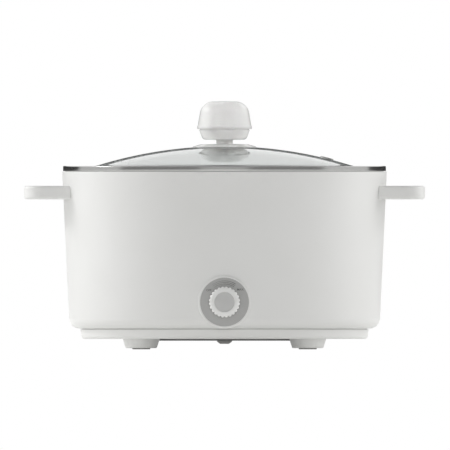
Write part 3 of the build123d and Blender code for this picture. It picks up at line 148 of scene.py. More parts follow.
# Each lamp: bearing in degrees from straight in front of the pot (rightwards),
# distance, height of its middle, height that it is aimed at, width, height,
# power in watts, spread in degrees, and whether gloss mirrors it
for name, bearing, distance, middle, aim, width, height, power, spread, mirrored in (
    ("left soft box", -104, 1.35, 0.60, 0.12, 1.2, 1.1, 10.0, 180, False),
    ("right soft box", 106, 1.35, 0.60, 0.12, 1.2, 1.1, 10.8, 180, False),
    ("left bare lamp", -102, 1.28, 0.84, 0.12, 0.22, 0.26, 3.0, 180, True),
    ("front soft box", 0, 2.60, 0.40, 0.12, 1.1, 1.1, 8.2, 180, False),
    ("gridded lamp on the lid's knob", 0, 1.20, 0.46, 0.22, 0.08, 0.08, 0.011, 8, False),
):
    lamp_data = bpy.data.lights.new(name, "AREA")
    lamp_data.shape = "RECTANGLE"
    lamp_data.size = width
    lamp_data.size_y = height
    lamp_data.energy = power
    lamp_data.spread = radians(spread)
    lamp = bpy.data.objects.new(name, lamp_data)
    scene.collection.objects.link(lamp)
    lamp.location = (distance * sin(radians(bearing)), -distance * cos(radians(bearing)), middle)
    lamp.rotation_euler = (Vector((0, 0, aim)) - lamp.location).to_track_quat("-Z", "Z").to_euler()
    lamp.visible_glossy = mirrored

# Each cloth shows in reflections only, and stands on the floor but for the one
# overhead: its first and last bearing, its distance, and its shade
cloth_height = 0.26           # at one metre, above the level of the lid
cloth_steps = 24
overhead_height = 2.7
overhead_r = 2.9
for name, first, last, distance, shade in (
    ("front cloth", -88, 88, 3.2, "#848484"),
    ("rear cloth", 88, 272, 3.2, "#404040"),
    ("left box cloth", -126, -78, 3.0, "#D4D4D4"),
    ("right box cloth", 74, 124, 3.0, "#DADADA"),
    ("front box cloth", -17, 17, 3.0, "#B8B8B8"),
    ("overhead cloth", 0, 360, overhead_r, "#303030"),
):
    cloth, tree, place = new_finish(name)
    tone = add(tree, "ShaderNodeEmission", {"Color": linear(shade)})
    add(tree, "ShaderNodeOutputMaterial", {"Surface": tone})
    turns = [radians(first + (last - first) * i / cloth_steps) for i in range(cloth_steps + 1)]
    points = [(distance * sin(turn), -distance * cos(turn)) for turn in turns]
    if name == "overhead cloth":
        corners = [(x, y, overhead_height) for x, y in points[:-1]]
        faces = [range(cloth_steps)]
    else:
        corners = [(x, y, z) for z in (0, cloth_height * distance) for x, y in points]
        faces = [(i, i + 1, i + cloth_steps + 2, i + cloth_steps + 1) for i in range(cloth_steps)]
    stage_sheet(name, corners, faces, cloth, True)

# --------------------
# Outer shell: one injection moulding of white polypropylene, with the dial's
# boss in front and the hole for the inlet's hood behind. The satin mould leaves
# a fine grain that softens reflections, and handling polishes it in patches.
# --------------------


def dress(material, *names):
    """Gives carried-over nodes their finish."""
    for name in names:
        nodes[name].data.materials.clear()
        nodes[name].data.materials.append(material)


grain_width = 0.5             # finer in life: this is what shows
rub_width = 60                # of the patches that hands polish
white, tree, place = new_finish("satin white moulded polypropylene")
grain = add(tree, "ShaderNodeTexNoise", {"Vector": place, "Scale": 1 / (grain_width * mm), "Detail": 2.0})
rubbed = add(tree, "ShaderNodeTexNoise", {"Vector": place, "Scale": 1 / (rub_width * mm), "Detail": 3.0})
tone = add(tree, "ShaderNodeMix", {0: rubbed, 6: linear("#E9E9E7"), 7: linear("#EEEEED")}, data_type="RGBA")
gloss = add(tree, "ShaderNodeMapRange", {"Value": rubbed, "From Min": 0.3, "From Max": 0.7, "To Min": 0.36,
                                         "To Max": 0.44})
bump = add(tree, "ShaderNodeBump", {"Height": grain, "Distance": 0.01 * mm, "Strength": 0.3})
shader = add(tree, "ShaderNodeBsdfPrincipled", {"Base Color": tone, "Roughness": gloss, "IOR": 1.49,
                                                "Normal": bump})
add(tree, "ShaderNodeOutputMaterial", {"Surface": shader})
dress(white, "outer_shell", "base_tray", "left_handle", "right_handle", "inlet_hood", "foot_front_left",
      "foot_front_right", "foot_rear_left", "foot_rear_right")

# --------------------
# Inner pot: an aluminium blank, deep drawn and turned over at the rim, sprayed
# with a dark non-stick coat. The coat has a low sheen with a fine orange peel,
# and pale mineral flecks of uneven size.
# --------------------


def begin_tree(name, start, sizes, counts=()):
    """A geometry nodes tree that works on what start names, and the sockets of its named inputs."""
    tree = bpy.data.node_groups.new(name, "GeometryNodeTree")
    tree.is_modifier = True
    kinds = {start: "Geometry", **dict.fromkeys(sizes, "Float"), **dict.fromkeys(counts, "Int"),
             "Finish": "Material"}
    for socket, kind in kinds.items():
        tree.interface.new_socket(socket, in_out="INPUT", socket_type="NodeSocket" + kind)
    tree.interface.new_socket("Piece", in_out="OUTPUT", socket_type="NodeSocketGeometry")
    return tree, add(tree, "NodeGroupInput").outputs


def end_tree(tree, given, made):
    """Ends a tree: what it made becomes a plain mesh with its finish."""
    real = add(tree, "GeometryNodeRealizeInstances", {"Geometry": made})
    finished = add(tree, "GeometryNodeSetMaterial", {"Geometry": real, "Material": given["Finish"]})
    add(tree, "NodeGroupOutput", {"Piece": finished})
    return tree


weld = 0.001                  # corners nearer than this become one


def turning_tree():
    """Geometry nodes that round an outline's corners and turn it about the Z axis."""
    tree, given = begin_tree("turned piece", "Outline", ("Ring radius",), ("Steps", "Arc steps"))
    rounding = add(tree, "GeometryNodeInputNamedAttribute", {"Name": "rounding"}, data_type="FLOAT")
    line = add(tree, "GeometryNodeMeshToCurve", {"Mesh": given["Outline"]})
    rounded = add(tree, "GeometryNodeFilletCurve", {"Curve": line, "Count": given["Arc steps"],
                                                    "Radius": rounding.outputs["Attribute"]}, mode="POLY")
    ring = add(tree, "GeometryNodeCurvePrimitiveCircle", {"Resolution": given["Steps"],
                                                          "Radius": given["Ring radius"]})
    turned = add(tree, "GeometryNodeCurveToMesh", {"Curve": ring, "Profile Curve": rounded})
    merged = add(tree, "GeometryNodeMergeByDistance", {"Geometry": turned, "Distance": weld * mm})
    return end_tree(tree, given, merged)


crease = 35                   # edges that turn by more degrees than this stay sharp


def grow(name, tree, mesh, **inputs):
    """Runs a tree on a mesh and returns what grows as a plain mesh piece."""
    seed = bpy.data.objects.new("seed", mesh)
    scene.collection.objects.link(seed)
    modifier = seed.modifiers.new("grow", "NODES")
    modifier.node_group = tree
    for item in tree.interface.items_tree:
        if item.in_out == "INPUT" and item.name.replace(" ", "_") in inputs:
            modifier[item.identifier] = inputs[item.name.replace(" ", "_")]
    grown = bpy.data.meshes.new_from_object(seed.evaluated_get(bpy.context.evaluated_depsgraph_get()))
    bpy.data.objects.remove(seed)
    grown.name = name
    work = bmesh.new()
    work.from_mesh(grown)
    bmesh.ops.recalc_face_normals(work, faces=work.faces)
    work.to_mesh(grown)
    work.free()
    grown.shade_smooth()
    grown.set_sharp_from_angle(angle=radians(crease))
    piece = bpy.data.objects.new(name, grown)
    scene.collection.objects.link(piece)
    return piece


def arc(middle_r, middle_z, radius, first, last, steps):
    """Corners along an arc of an outline; angles in degrees from +Z towards the outside."""
    turns = [radians(first + (last - first) * i / steps) for i in range(steps + 1)]
    return [(middle_r + radius * sin(turn), middle_z + radius * cos(turn), 0) for turn in turns]


turning = turning_tree()
turning_ring = 100 * mm       # any radius does: the outline is set off by it, and turns about Z


def turn(name, corners, material, steps, arc_steps):
    """A piece turned about Z from (radius, height, rounding) corners in millimetres."""
    mesh = bpy.data.meshes.new("outline")
    count = len(corners)
    edges = [(i, i + 1) for i in range(count - 1)]
    if corners[0][0] > 0:
        edges.append((count - 1, 0))
    mesh.from_pydata([(r * mm - turning_ring, -z * mm, 0) for r, z, _ in corners], edges, [])
    rounding = mesh.attributes.new("rounding", "FLOAT", "POINT")
    rounding.data.foreach_set("value", [c * mm for _, _, c in corners])
    return grow(name, turning, mesh, Ring_radius=turning_ring, Steps=steps, Arc_steps=arc_steps,
                Finish=material)


fleck_width = 2.6             # spacing of the flecks
spray_width = 0.6
coat, tree, place = new_finish("flecked non-stick coat")
cells = add(tree, "ShaderNodeTexVoronoi", {"Vector": place, "Scale": 1 / (fleck_width * mm)})
sizes = add(tree, "ShaderNodeTexNoise", {"Vector": place, "Scale": 1 / (2 * fleck_width * mm)})
limit = add(tree, "ShaderNodeMapRange", {"Value": sizes, "From Min": 0.4, "From Max": 0.75, "To Min": 0.04,
                                         "To Max": 0.30})
fleck = add(tree, "ShaderNodeMath", {0: cells.outputs["Distance"], 1: limit}, operation="LESS_THAN")
spray = add(tree, "ShaderNodeTexNoise", {"Vector": place, "Scale": 1 / (spray_width * mm), "Detail": 3.0})
ground = add(tree, "ShaderNodeMix", {0: spray, 6: linear("#29292B"), 7: linear("#38383B")},
             data_type="RGBA")
tone = add(tree, "ShaderNodeMix", {0: fleck, 6: ground.outputs[2], 7: linear("#A9A7A2")}, data_type="RGBA")
gloss = add(tree, "ShaderNodeMapRange", {"Value": spray, "To Min": 0.26, "To Max": 0.46})
bump = add(tree, "ShaderNodeBump", {"Height": spray, "Distance": 0.03 * mm, "Strength": 0.4})
shader = add(tree, "ShaderNodeBsdfPrincipled", {"Base Color": tone, "Roughness": gloss, "IOR": 1.45,
                                                "Normal": bump})
add(tree, "ShaderNodeOutputMaterial", {"Surface": shader})

pot_low, pot_high = [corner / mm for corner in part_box("inner_pot")]
pot_wall = 2.0
pot_mouth_r = 145.0
pot_taper = 6.0
pot_floor_r = pot_mouth_r - pot_taper
pot_corner = 20.0
pot_flange_wall = 1.8
pot_lip_round = 3.0
pot_root_round = 0.6
pot = turn("pot_pressing", [
    (0, pot_low.z + pot_wall, 0),
    (pot_floor_r, pot_low.z + pot_wall, pot_corner),
    (pot_mouth_r, pot_high.z, pot_lip_round),
    (pot_high.x, pot_high.z, pot_flange_wall / 3),
    (pot_high.x, pot_high.z - pot_flange_wall, pot_flange_wall / 3),
    (pot_mouth_r + pot_wall, pot_high.z - pot_flange_wall, pot_root_round),
    (pot_floor_r + pot_wall, pot_low.z, pot_corner + pot_wall),
    (0, pot_low.z, 0),
], coat, steps=256, arc_steps=12)
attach(pot, "base")
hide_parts("inner_pot")

# --------------------
# Seal under the pot's rim and the gaskets of the lid's knob: cast silicone
# rubber, milky, with a soft sheen and a trace of dust
# --------------------

haze_width = 5.0
silicone, tree, place = new_finish("milky cast silicone rubber")
cloud = add(tree, "ShaderNodeTexNoise", {"Vector": place, "Scale": 1 / (haze_width * mm), "Detail": 3.0})
tone = add(tree, "ShaderNodeMix", {0: cloud, 6: linear("#D9DAD9"), 7: linear("#E6E6E4")}, data_type="RGBA")
gloss = add(tree, "ShaderNodeMapRange", {"Value": cloud, "To Min": 0.42, "To Max": 0.62})
bump = add(tree, "ShaderNodeBump", {"Height": cloud, "Distance": 0.03 * mm, "Strength": 0.4})
shader = add(tree, "ShaderNodeBsdfPrincipled", {"Base Color": tone, "Roughness": gloss, "IOR": 1.41,
                                                "Normal": bump})
add(tree, "ShaderNodeOutputMaterial", {"Surface": shader})
dress(silicone, "rim_seal", "knob_gasket", "under_gasket")

# --------------------
# Heater plate and limit thermostat: cast and ground aluminium, dull and gritty.
# The tubular heater pressed into the plate has a steel sheath that heat has
# tinted straw and blue. Its beads are fired steatite, dry and off-white.
# --------------------

cast_grit = 0.9
cast_patch = 14
cast, tree, place = new_finish("cast aluminium")
grit = add(tree, "ShaderNodeTexNoise", {"Vector": place, "Scale": 1 / (cast_grit * mm), "Detail": 4.0})
cloud = add(tree, "ShaderNodeTexNoise", {"Vector": place, "Scale": 1 / (cast_patch * mm)})
tone = add(tree, "ShaderNodeMix", {0: cloud, 6: linear("#B2B3B4"), 7: linear("#C8C8C7")}, data_type="RGBA")
gloss = add(tree, "ShaderNodeMapRange", {"Value": grit, "To Min": 0.40, "To Max": 0.62})
bump = add(tree, "ShaderNodeBump", {"Height": grit, "Distance": 0.1 * mm, "Strength": 0.5})
shader = add(tree, "ShaderNodeBsdfPrincipled", {"Base Color": tone, "Metallic": 1.0, "Roughness": gloss,
                                                "Normal": bump})
add(tree, "ShaderNodeOutputMaterial", {"Surface": shader})
dress(cast, "heater_plate", "limit_thermostat")

tint_width = 20
sheath_grain = 1.5
sheath, tree, place = new_finish("heat tinted steel sheath")
heat = add(tree, "ShaderNodeTexNoise", {"Vector": place, "Scale": 1 / (tint_width * mm), "Detail": 2.0})
fine = add(tree, "ShaderNodeTexNoise", {"Vector": place, "Scale": 1 / (sheath_grain * mm), "Detail": 3.0})
tone = add(tree, "ShaderNodeMix", {0: heat, 6: linear("#716A52"), 7: linear("#525C68")}, data_type="RGBA")
gloss = add(tree, "ShaderNodeMapRange", {"Value": fine, "To Min": 0.32, "To Max": 0.56})
shader = add(tree, "ShaderNodeBsdfPrincipled", {"Base Color": tone, "Metallic": 1.0, "Roughness": gloss})
add(tree, "ShaderNodeOutputMaterial", {"Surface": shader})
dress(sheath, "heater_tube")

steatite_grit = 0.5           # finer in life: this is what shows
steatite, tree, place = new_finish("fired steatite")
grit = add(tree, "ShaderNodeTexNoise", {"Vector": place, "Scale": 1 / (steatite_grit * mm), "Detail": 3.0})
tone = add(tree, "ShaderNodeMix", {0: grit, 6: linear("#E0DAC9"), 7: linear("#F0EBDF")}, data_type="RGBA")
bump = add(tree, "ShaderNodeBump", {"Height": grit, "Distance": 0.03 * mm, "Strength": 0.5})
shader = add(tree, "ShaderNodeBsdfPrincipled", {"Base Color": tone, "Roughness": 0.55, "IOR": 1.58,
                                                "Normal": bump})
add(tree, "ShaderNodeOutputMaterial", {"Surface": shader})
dress(steatite, "heater_terminals")

# --------------------
# Heat shield and thermal fuse: rolled aluminium, with the fine straight lines
# that the rolls leave along the sheet
# --------------------

roll_line = 0.5               # finer in life: this is what shows
roll_stretch = 0.03           # width of a line, of its length
rolled, tree, place = new_finish("rolled aluminium sheet")
along = add(tree, "ShaderNodeMapping", {"Vector": place, "Scale": (1.0, roll_stretch, 1.0)})
lines = add(tree, "ShaderNodeTexNoise", {"Vector": along, "Scale": 1 / (roll_line * mm), "Detail": 3.0})
tone = add(tree, "ShaderNodeMix", {0: lines, 6: linear("#C6C7C8"), 7: linear("#DEDEDD")}, data_type="RGBA")
gloss = add(tree, "ShaderNodeMapRange", {"Value": lines, "To Min": 0.22, "To Max": 0.42})
bump = add(tree, "ShaderNodeBump", {"Height": lines, "Distance": 0.01 * mm, "Strength": 0.5})
shader = add(tree, "ShaderNodeBsdfPrincipled", {"Base Color": tone, "Metallic": 1.0, "Roughness": gloss,
                                                "Normal": bump})
add(tree, "ShaderNodeOutputMaterial", {"Surface": shader})
dress(rolled, "heat_shield", "thermal_fuse")

# --------------------
# Studs, posts, nuts and clips: turned or stamped steel, zinc plated, which gives
# a slightly blue and cloudy shine
# --------------------

zinc_cloud = 2.5
zinc, tree, place = new_finish("zinc plated steel")
cloud = add(tree, "ShaderNodeTexNoise", {"Vector": place, "Scale": 1 / (zinc_cloud * mm), "Detail": 4.0})
tone = add(tree, "ShaderNodeMix", {0: cloud, 6: linear("#B7BBC3"), 7: linear("#D5D4CF")}, data_type="RGBA")
gloss = add(tree, "ShaderNodeMapRange", {"Value": cloud, "To Min": 0.25, "To Max": 0.48})
shader = add(tree, "ShaderNodeBsdfPrincipled", {"Base Color": tone, "Metallic": 1.0, "Roughness": gloss})
add(tree, "ShaderNodeOutputMaterial", {"Surface": shader})
dress(zinc, "centre_stud", "shield_posts", "thermostat_clip", "fuse_clip", "switch_nut", "knob_washer")

# --------------------
# Screws of the base, the feet, the handles, the heat shield, the inlet and the
# knob: pan heads with a cross recess, cold headed, threads rolled, zinc plated
# --------------------

recess_reach = 1.15           # length of each bar of the recess, of the head's radius
recess_floor = 0.5            # height of the recess's floor, of the head's height
recess_bar = 1.2              # height of the bars that are taken out, of the head's height
thread_root = 0.82            # radius between the ridges of the thread, of the shank's radius
point_start = 0.9             # where the point begins, of the shank's length
point_r = 0.25                # radius at the very end, of the shank's radius
shank_rings = 96


def solids(name):
    """The corners of each separate solid of a carried-over node."""
    work = bmesh.new()
    work.from_mesh(nodes[name].data)
    bmesh.ops.remove_doubles(work, verts=work.verts, dist=10 * weld * mm)
    left = set(work.verts)
    found = []
    for first in work.verts:
        if first not in left:
            continue
        left.remove(first)
        reached = [first]
        for vert in reached:
            for edge in vert.link_edges:
                other = edge.other_vert(vert)
                if other in left:
                    left.remove(other)
                    reached.append(other)
        found.append([vert.co.copy() for vert in reached])
    work.free()
    return found


def screw_tree():
    """Geometry nodes that set a cross-recessed pan head screw on each point, along its facing."""
    tree, given = begin_tree("screws", "Places", ("Head radius", "Head height", "Shank radius", "Length",
                                                  "Pitch", "Recess width"))
    # Head: the upper half of a flattened ball, closed level below
    grid = add(tree, "GeometryNodeMeshUVSphere", {"Segments": 32, "Rings": 16,
                                                  "Radius": given["Head radius"]})
    share = add(tree, "ShaderNodeMath", {0: given["Head height"], 1: given["Head radius"]},
                operation="DIVIDE")
    flat = add(tree, "ShaderNodeCombineXYZ", {"X": 1.0, "Y": 1.0, "Z": share})
    dome = add(tree, "GeometryNodeTransform", {"Geometry": grid, "Scale": flat})
    place = add(tree, "GeometryNodeInputPosition")
    parts = add(tree, "ShaderNodeSeparateXYZ", {0: place})
    level = add(tree, "ShaderNodeMath", {0: parts.outputs["Z"], 1: 0.0}, operation="MAXIMUM")
    seated = add(tree, "ShaderNodeCombineXYZ", {"X": parts.outputs["X"], "Y": parts.outputs["Y"],
                                                "Z": level})
    head = add(tree, "GeometryNodeSetPosition", {"Geometry": dome, "Position": seated})
    # Recess: two crossed bars taken out of the dome
    long = add(tree, "ShaderNodeMath", {0: given["Head radius"], 1: recess_reach}, operation="MULTIPLY")
    deep = add(tree, "ShaderNodeMath", {0: given["Head height"], 1: recess_bar}, operation="MULTIPLY")
    wide = add(tree, "ShaderNodeCombineXYZ", {"X": long, "Y": given["Recess width"], "Z": deep})
    bar = add(tree, "GeometryNodeMeshCube", {"Size": wide})
    above = add(tree, "ShaderNodeMath", {0: given["Head height"], 1: recess_floor + recess_bar / 2},
                operation="MULTIPLY")
    lift = add(tree, "ShaderNodeCombineXYZ", {"Z": above})
    first = add(tree, "GeometryNodeTransform", {"Geometry": bar.outputs["Mesh"], "Translation": lift})
    second = add(tree, "GeometryNodeTransform", {"Geometry": first, "Rotation": (0.0, 0.0, pi / 2)})
    cut = add(tree, "GeometryNodeMeshBoolean", {"Mesh 1": head}, operation="DIFFERENCE")
    tree.links.new(first.outputs[0], cut.inputs["Mesh 2"])
    tree.links.new(second.outputs[0], cut.inputs["Mesh 2"])
    # Shank: a tube whose radius swells once in every pitch, with a pointed end
    below = add(tree, "ShaderNodeMath", {0: given["Length"], 1: -1.0}, operation="MULTIPLY")
    tip = add(tree, "ShaderNodeCombineXYZ", {"Z": below})
    line = add(tree, "GeometryNodeCurvePrimitiveLine", {"Start": (0.0, 0.0, 0.0), "End": tip})
    fine = add(tree, "GeometryNodeResampleCurve", {"Curve": line, "Count": shank_rings})
    down = add(tree, "GeometryNodeSplineParameter")
    turns = add(tree, "ShaderNodeMath", {0: down.outputs["Length"], 1: given["Pitch"]}, operation="DIVIDE")
    wave = add(tree, "ShaderNodeMath", {0: turns, 1: 0.5}, operation="PINGPONG")
    ridge = add(tree, "ShaderNodeMapRange", {"Value": wave, "From Max": 0.5, "To Min": thread_root,
                                             "To Max": 1.0})
    point = add(tree, "ShaderNodeMapRange", {"Value": down.outputs["Factor"], "From Min": point_start,
                                             "From Max": 1.0, "To Min": 1.0, "To Max": point_r})
    swell = add(tree, "ShaderNodeMath", {0: ridge, 1: point}, operation="MULTIPLY")
    ring = add(tree, "GeometryNodeCurvePrimitiveCircle", {"Resolution": 20,
                                                          "Radius": given["Shank radius"]})
    shank = add(tree, "GeometryNodeCurveToMesh", {"Curve": fine, "Profile Curve": ring, "Scale": swell,
                                                  "Fill Caps": True})
    screw = add(tree, "GeometryNodeJoinGeometry")
    tree.links.new(cut.outputs["Mesh"], screw.inputs[0])
    tree.links.new(shank.outputs[0], screw.inputs[0])
    facing = add(tree, "GeometryNodeInputNamedAttribute", {"Name": "facing"}, data_type="FLOAT_VECTOR")
    turned = add(tree, "FunctionNodeAlignRotationToVector", {"Vector": facing.outputs["Attribute"]},
                 axis="Z")
    placed = add(tree, "GeometryNodeInstanceOnPoints", {"Points": given["Places"], "Instance": screw,
                                                        "Rotation": turned})
    return end_tree(tree, given, placed)


screws = screw_tree()
recess_width = 0.9
thread_pitch = 1.6
# Each group of screws: its body, which way its heads face (None is towards the
# pot's axis), radius and height of the head, and radius of the shank
for name, body, facing, head_r, head_height, shank_r in (
    ("base_screws", "base", Vector((0, 0, -1)), 3.8, 2.4, 1.9),
    ("foot_screws", "base", Vector((0, 0, -1)), 3.8, 2.4, 1.9),
    ("shield_screws", "base", Vector((0, 0, -1)), 3.8, 2.4, 1.9),
    ("handle_screws", "base", None, 3.8, 2.4, 1.9),
    ("inlet_screws", "base", Vector((0, 1, 0)), 3.0, 0.95, 1.6),
    ("knob_screw", "lid", Vector((0, 0, -1)), 4.2, 2.4, 2.0),
):
    places, facings, reach = [], [], 0
    for corners in solids(name):
        middle = sum(corners, Vector()) / len(corners)
        out = facing or Vector((-middle.x, -middle.y, 0)).normalized()
        along = [corner.dot(out) for corner in corners]
        reach = max(along) - min(along)
        across = Vector([(max(c[i] for c in corners) + min(c[i] for c in corners)) / 2 for i in range(3)])
        seat = max(along) - head_height * mm
        places.append(across + out * (seat - across.dot(out)))
        facings.append(out)
    mesh = bpy.data.meshes.new("places")
    mesh.from_pydata(places, [], [])
    stored = mesh.attributes.new("facing", "FLOAT_VECTOR", "POINT")
    stored.data.foreach_set("vector", [share for out in facings for share in out])
    piece = grow("cross_" + name, screws, mesh, Head_radius=head_r * mm, Head_height=head_height * mm,
                 Shank_radius=shank_r * mm, Length=reach - head_height * mm, Pitch=thread_pitch * mm,
                 Recess_width=recess_width * mm, Finish=zinc)
    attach(piece, body)
    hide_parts(name)

# --------------------
# Bottom cover and centre nut: grey polypropylene, and natural nylon for the nut,
# both from a grained mould that leaves them matt with paler and darker patches.
# The cover's mid grey is partly painted shade, standing in for the shade under the base.
# --------------------

pit_width = 0.7
patch_width = 35
for name, finish, dark, pale in (
    # The bottom cover's grey is partly painted shade: it is darkened for the shade under the base
    ("bottom_cover", "grained grey polypropylene", "#8E8E8F", "#999999"),
    ("centre_nut", "grained natural nylon", "#E2E2DF", "#EBEBE8"),
):
    grained, tree, place = new_finish(finish)
    grain = add(tree, "ShaderNodeTexNoise", {"Vector": place, "Scale": 1 / (pit_width * mm), "Detail": 3.0})
    patch = add(tree, "ShaderNodeTexNoise", {"Vector": place, "Scale": 1 / (patch_width * mm)})
    tone = add(tree, "ShaderNodeMix", {0: patch, 6: linear(dark), 7: linear(pale)}, data_type="RGBA")
    gloss = add(tree, "ShaderNodeMapRange", {"Value": grain, "To Min": 0.45, "To Max": 0.70})
    bump = add(tree, "ShaderNodeBump", {"Height": grain, "Distance": 0.06 * mm, "Strength": 0.5})
    shader = add(tree, "ShaderNodeBsdfPrincipled", {"Base Color": tone, "Roughness": gloss, "IOR": 1.5,
                                                    "Normal": bump})
    add(tree, "ShaderNodeOutputMaterial", {"Surface": shader})
    dress(grained, name)

# --------------------
# Foot pads: discs of moulded pale grey rubber, matt, with dust worked into the
# lowest half millimetre
# --------------------

dust_height = 0.6
dust_speck = 0.8
rubber, tree, place = new_finish("matt moulded pale rubber")
parts = add(tree, "ShaderNodeSeparateXYZ", {0: place})
speck = add(tree, "ShaderNodeTexNoise", {"Vector": place, "Scale": 1 / (dust_speck * mm), "Detail": 4.0})
height = add(tree, "ShaderNodeMapRange", {"Value": parts.outputs["Z"], "From Max": 2 * dust_height * mm})
dusty = add(tree, "ShaderNodeMath", {0: height, 1: speck}, operation="LESS_THAN")
tone = add(tree, "ShaderNodeMix", {0: dusty, 6: linear("#C6C6C4"), 7: linear("#A6A49F")}, data_type="RGBA")
bump = add(tree, "ShaderNodeBump", {"Height": speck, "Distance": 0.08 * mm, "Strength": 0.5})
shader = add(tree, "ShaderNodeBsdfPrincipled", {"Base Color": tone, "Roughness": 0.85, "IOR": 1.52,
                                                "Normal": bump})
add(tree, "ShaderNodeOutputMaterial", {"Surface": shader})
dress(rubber, "pad_front_left", "pad_front_right", "pad_rear_left", "pad_rear_right")

# --------------------
# Switch and inlet: black nylon with glass fibre, which leaves a fine grey bloom.
# The contacts, shaft and pins are stamped brass, warm and a little cloudy, and
# so is the threaded insert of the lid's knob.
# --------------------

fibre_grain = 0.5             # finer in life: this is what shows
bloom_width = 8
nylon, tree, place = new_finish("glass-filled nylon")
grain = add(tree, "ShaderNodeTexNoise", {"Vector": place, "Scale": 1 / (fibre_grain * mm), "Detail": 3.0})
bloom = add(tree, "ShaderNodeTexNoise", {"Vector": place, "Scale": 1 / (bloom_width * mm), "Detail": 2.0})
tone = add(tree, "ShaderNodeMix", {0: bloom, 6: linear("#17181A"), 7: linear("#26272A")}, data_type="RGBA")
gloss = add(tree, "ShaderNodeMapRange", {"Value": grain, "To Min": 0.36, "To Max": 0.60})
bump = add(tree, "ShaderNodeBump", {"Height": grain, "Distance": 0.04 * mm, "Strength": 0.5})
shader = add(tree, "ShaderNodeBsdfPrincipled", {"Base Color": tone, "Roughness": gloss, "IOR": 1.53,
                                                "Normal": bump})
add(tree, "ShaderNodeOutputMaterial", {"Surface": shader})
dress(nylon, "switch_housing", "switch_cover", "switch_cam", "inlet_socket")

brass_cloud = 2
brass, tree, place = new_finish("stamped brass")
cloud = add(tree, "ShaderNodeTexNoise", {"Vector": place, "Scale": 1 / (brass_cloud * mm), "Detail": 4.0})
tone = add(tree, "ShaderNodeMix", {0: cloud, 6: linear("#C7A254"), 7: linear("#E2C47E")}, data_type="RGBA")
gloss = add(tree, "ShaderNodeMapRange", {"Value": cloud, "To Min": 0.18, "To Max": 0.38})
shader = add(tree, "ShaderNodeBsdfPrincipled", {"Base Color": tone, "Metallic": 1.0, "Roughness": gloss})
add(tree, "ShaderNodeOutputMaterial", {"Surface": shader})
dress(brass, "switch_contacts", "switch_shaft", "inlet_pins", "knob_insert")

# --------------------
# Leads inside the base: extruded silicone insulation with a soft, rubbery sheen,
# in the usual wire colours. The earth lead has a yellow stripe on green.
# --------------------

lead_haze = 4
stripe_width = 5.0
stripe_rate = 3.2             # straight bands in a metre of a wave texture of scale 1
for name, dark, pale, striped in (
    ("live_lead", "#492816", "#5B3621", False),
    ("switch_lead", "#191919", "#262627", False),
    ("thermostat_lead", "#191919", "#262627", False),
    ("fuse_lead", "#191919", "#262627", False),
    ("neutral_lead", "#21478A", "#2C59A2", False),
    ("earth_lead", "#2F8F3C", "#E3CE2C", True),
):
    insulation, tree, place = new_finish("silicone insulation of the " + name.replace("_", " "))
    cloud = add(tree, "ShaderNodeTexNoise", {"Vector": place, "Scale": 1 / (lead_haze * mm), "Detail": 3.0})
    share = cloud
    if striped:
        band = add(tree, "ShaderNodeTexWave", {"Vector": place,
                                               "Scale": 1 / (stripe_width * mm) / stripe_rate},
                   bands_direction="DIAGONAL")
        share = add(tree, "ShaderNodeMath", {0: band.outputs["Fac"], 1: 0.5}, operation="GREATER_THAN")
    tone = add(tree, "ShaderNodeMix", {0: share, 6: linear(dark), 7: linear(pale)}, data_type="RGBA")
    gloss = add(tree, "ShaderNodeMapRange", {"Value": cloud, "To Min": 0.42, "To Max": 0.60})
    shader = add(tree, "ShaderNodeBsdfPrincipled", {"Base Color": tone, "Roughness": gloss, "IOR": 1.41})
    add(tree, "ShaderNodeOutputMaterial", {"Surface": shader})
    dress(insulation, name)

# --------------------
# Dial plate and the disc in the knob: moulded plastic with a sprayed silver-grey
# coat, which gives an even satin sheen with a very fine grain
# --------------------

mist_width = 0.4              # finer in life: this is what shows
satin_cloud = 8
for name, dark, pale in (("dial_plate", "#B1B1B0", "#B9B9B8"), ("dial_face", "#C5C5C4", "#CDCDCC")):
    satin, tree, place = new_finish("satin silver-grey coat of the " + name.replace("_", " "))
    fine = add(tree, "ShaderNodeTexNoise", {"Vector": place, "Scale": 1 / (mist_width * mm), "Detail": 3.0})
    cloud = add(tree, "ShaderNodeTexNoise", {"Vector": place, "Scale": 1 / (satin_cloud * mm)})
    tone = add(tree, "ShaderNodeMix", {0: cloud, 6: linear(dark), 7: linear(pale)}, data_type="RGBA")
    gloss = add(tree, "ShaderNodeMapRange", {"Value": fine, "To Min": 0.38, "To Max": 0.52})
    bump = add(tree, "ShaderNodeBump", {"Height": fine, "Distance": 0.01 * mm, "Strength": 0.5})
    shader = add(tree, "ShaderNodeBsdfPrincipled", {"Base Color": tone, "Roughness": gloss, "IOR": 1.5,
                                                    "Normal": bump})
    add(tree, "ShaderNodeOutputMaterial", {"Surface": shader})
    dress(satin, name)

# --------------------
# Knobs of the dial and of the lid: white polypropylene from a polished mould.
# They are glossier than the shell, and faint ripples bend what they mirror.
# --------------------

ripple_width = 5.0
hand_width = 15
gloss_white, tree, place = new_finish("polished white moulded polypropylene")
ripple = add(tree, "ShaderNodeTexNoise", {"Vector": place, "Scale": 1 / (ripple_width * mm)})
rubbed = add(tree, "ShaderNodeTexNoise", {"Vector": place, "Scale": 1 / (hand_width * mm), "Detail": 3.0})
tone = add(tree, "ShaderNodeMix", {0: rubbed, 6: linear("#EBEBE9"), 7: linear("#F0F0EF")}, data_type="RGBA")
gloss = add(tree, "ShaderNodeMapRange", {"Value": rubbed, "From Min": 0.3, "From Max": 0.7, "To Min": 0.08,
                                         "To Max": 0.13})
bump = add(tree, "ShaderNodeBump", {"Height": ripple, "Distance": 0.02 * mm, "Strength": 0.3})
shader = add(tree, "ShaderNodeBsdfPrincipled", {"Base Color": tone, "Roughness": gloss, "IOR": 1.49,
                                                "Normal": bump})
add(tree, "ShaderNodeOutputMaterial", {"Surface": shader})
dress(gloss_white, "knob_flange", "knob_base", "knob_cap")

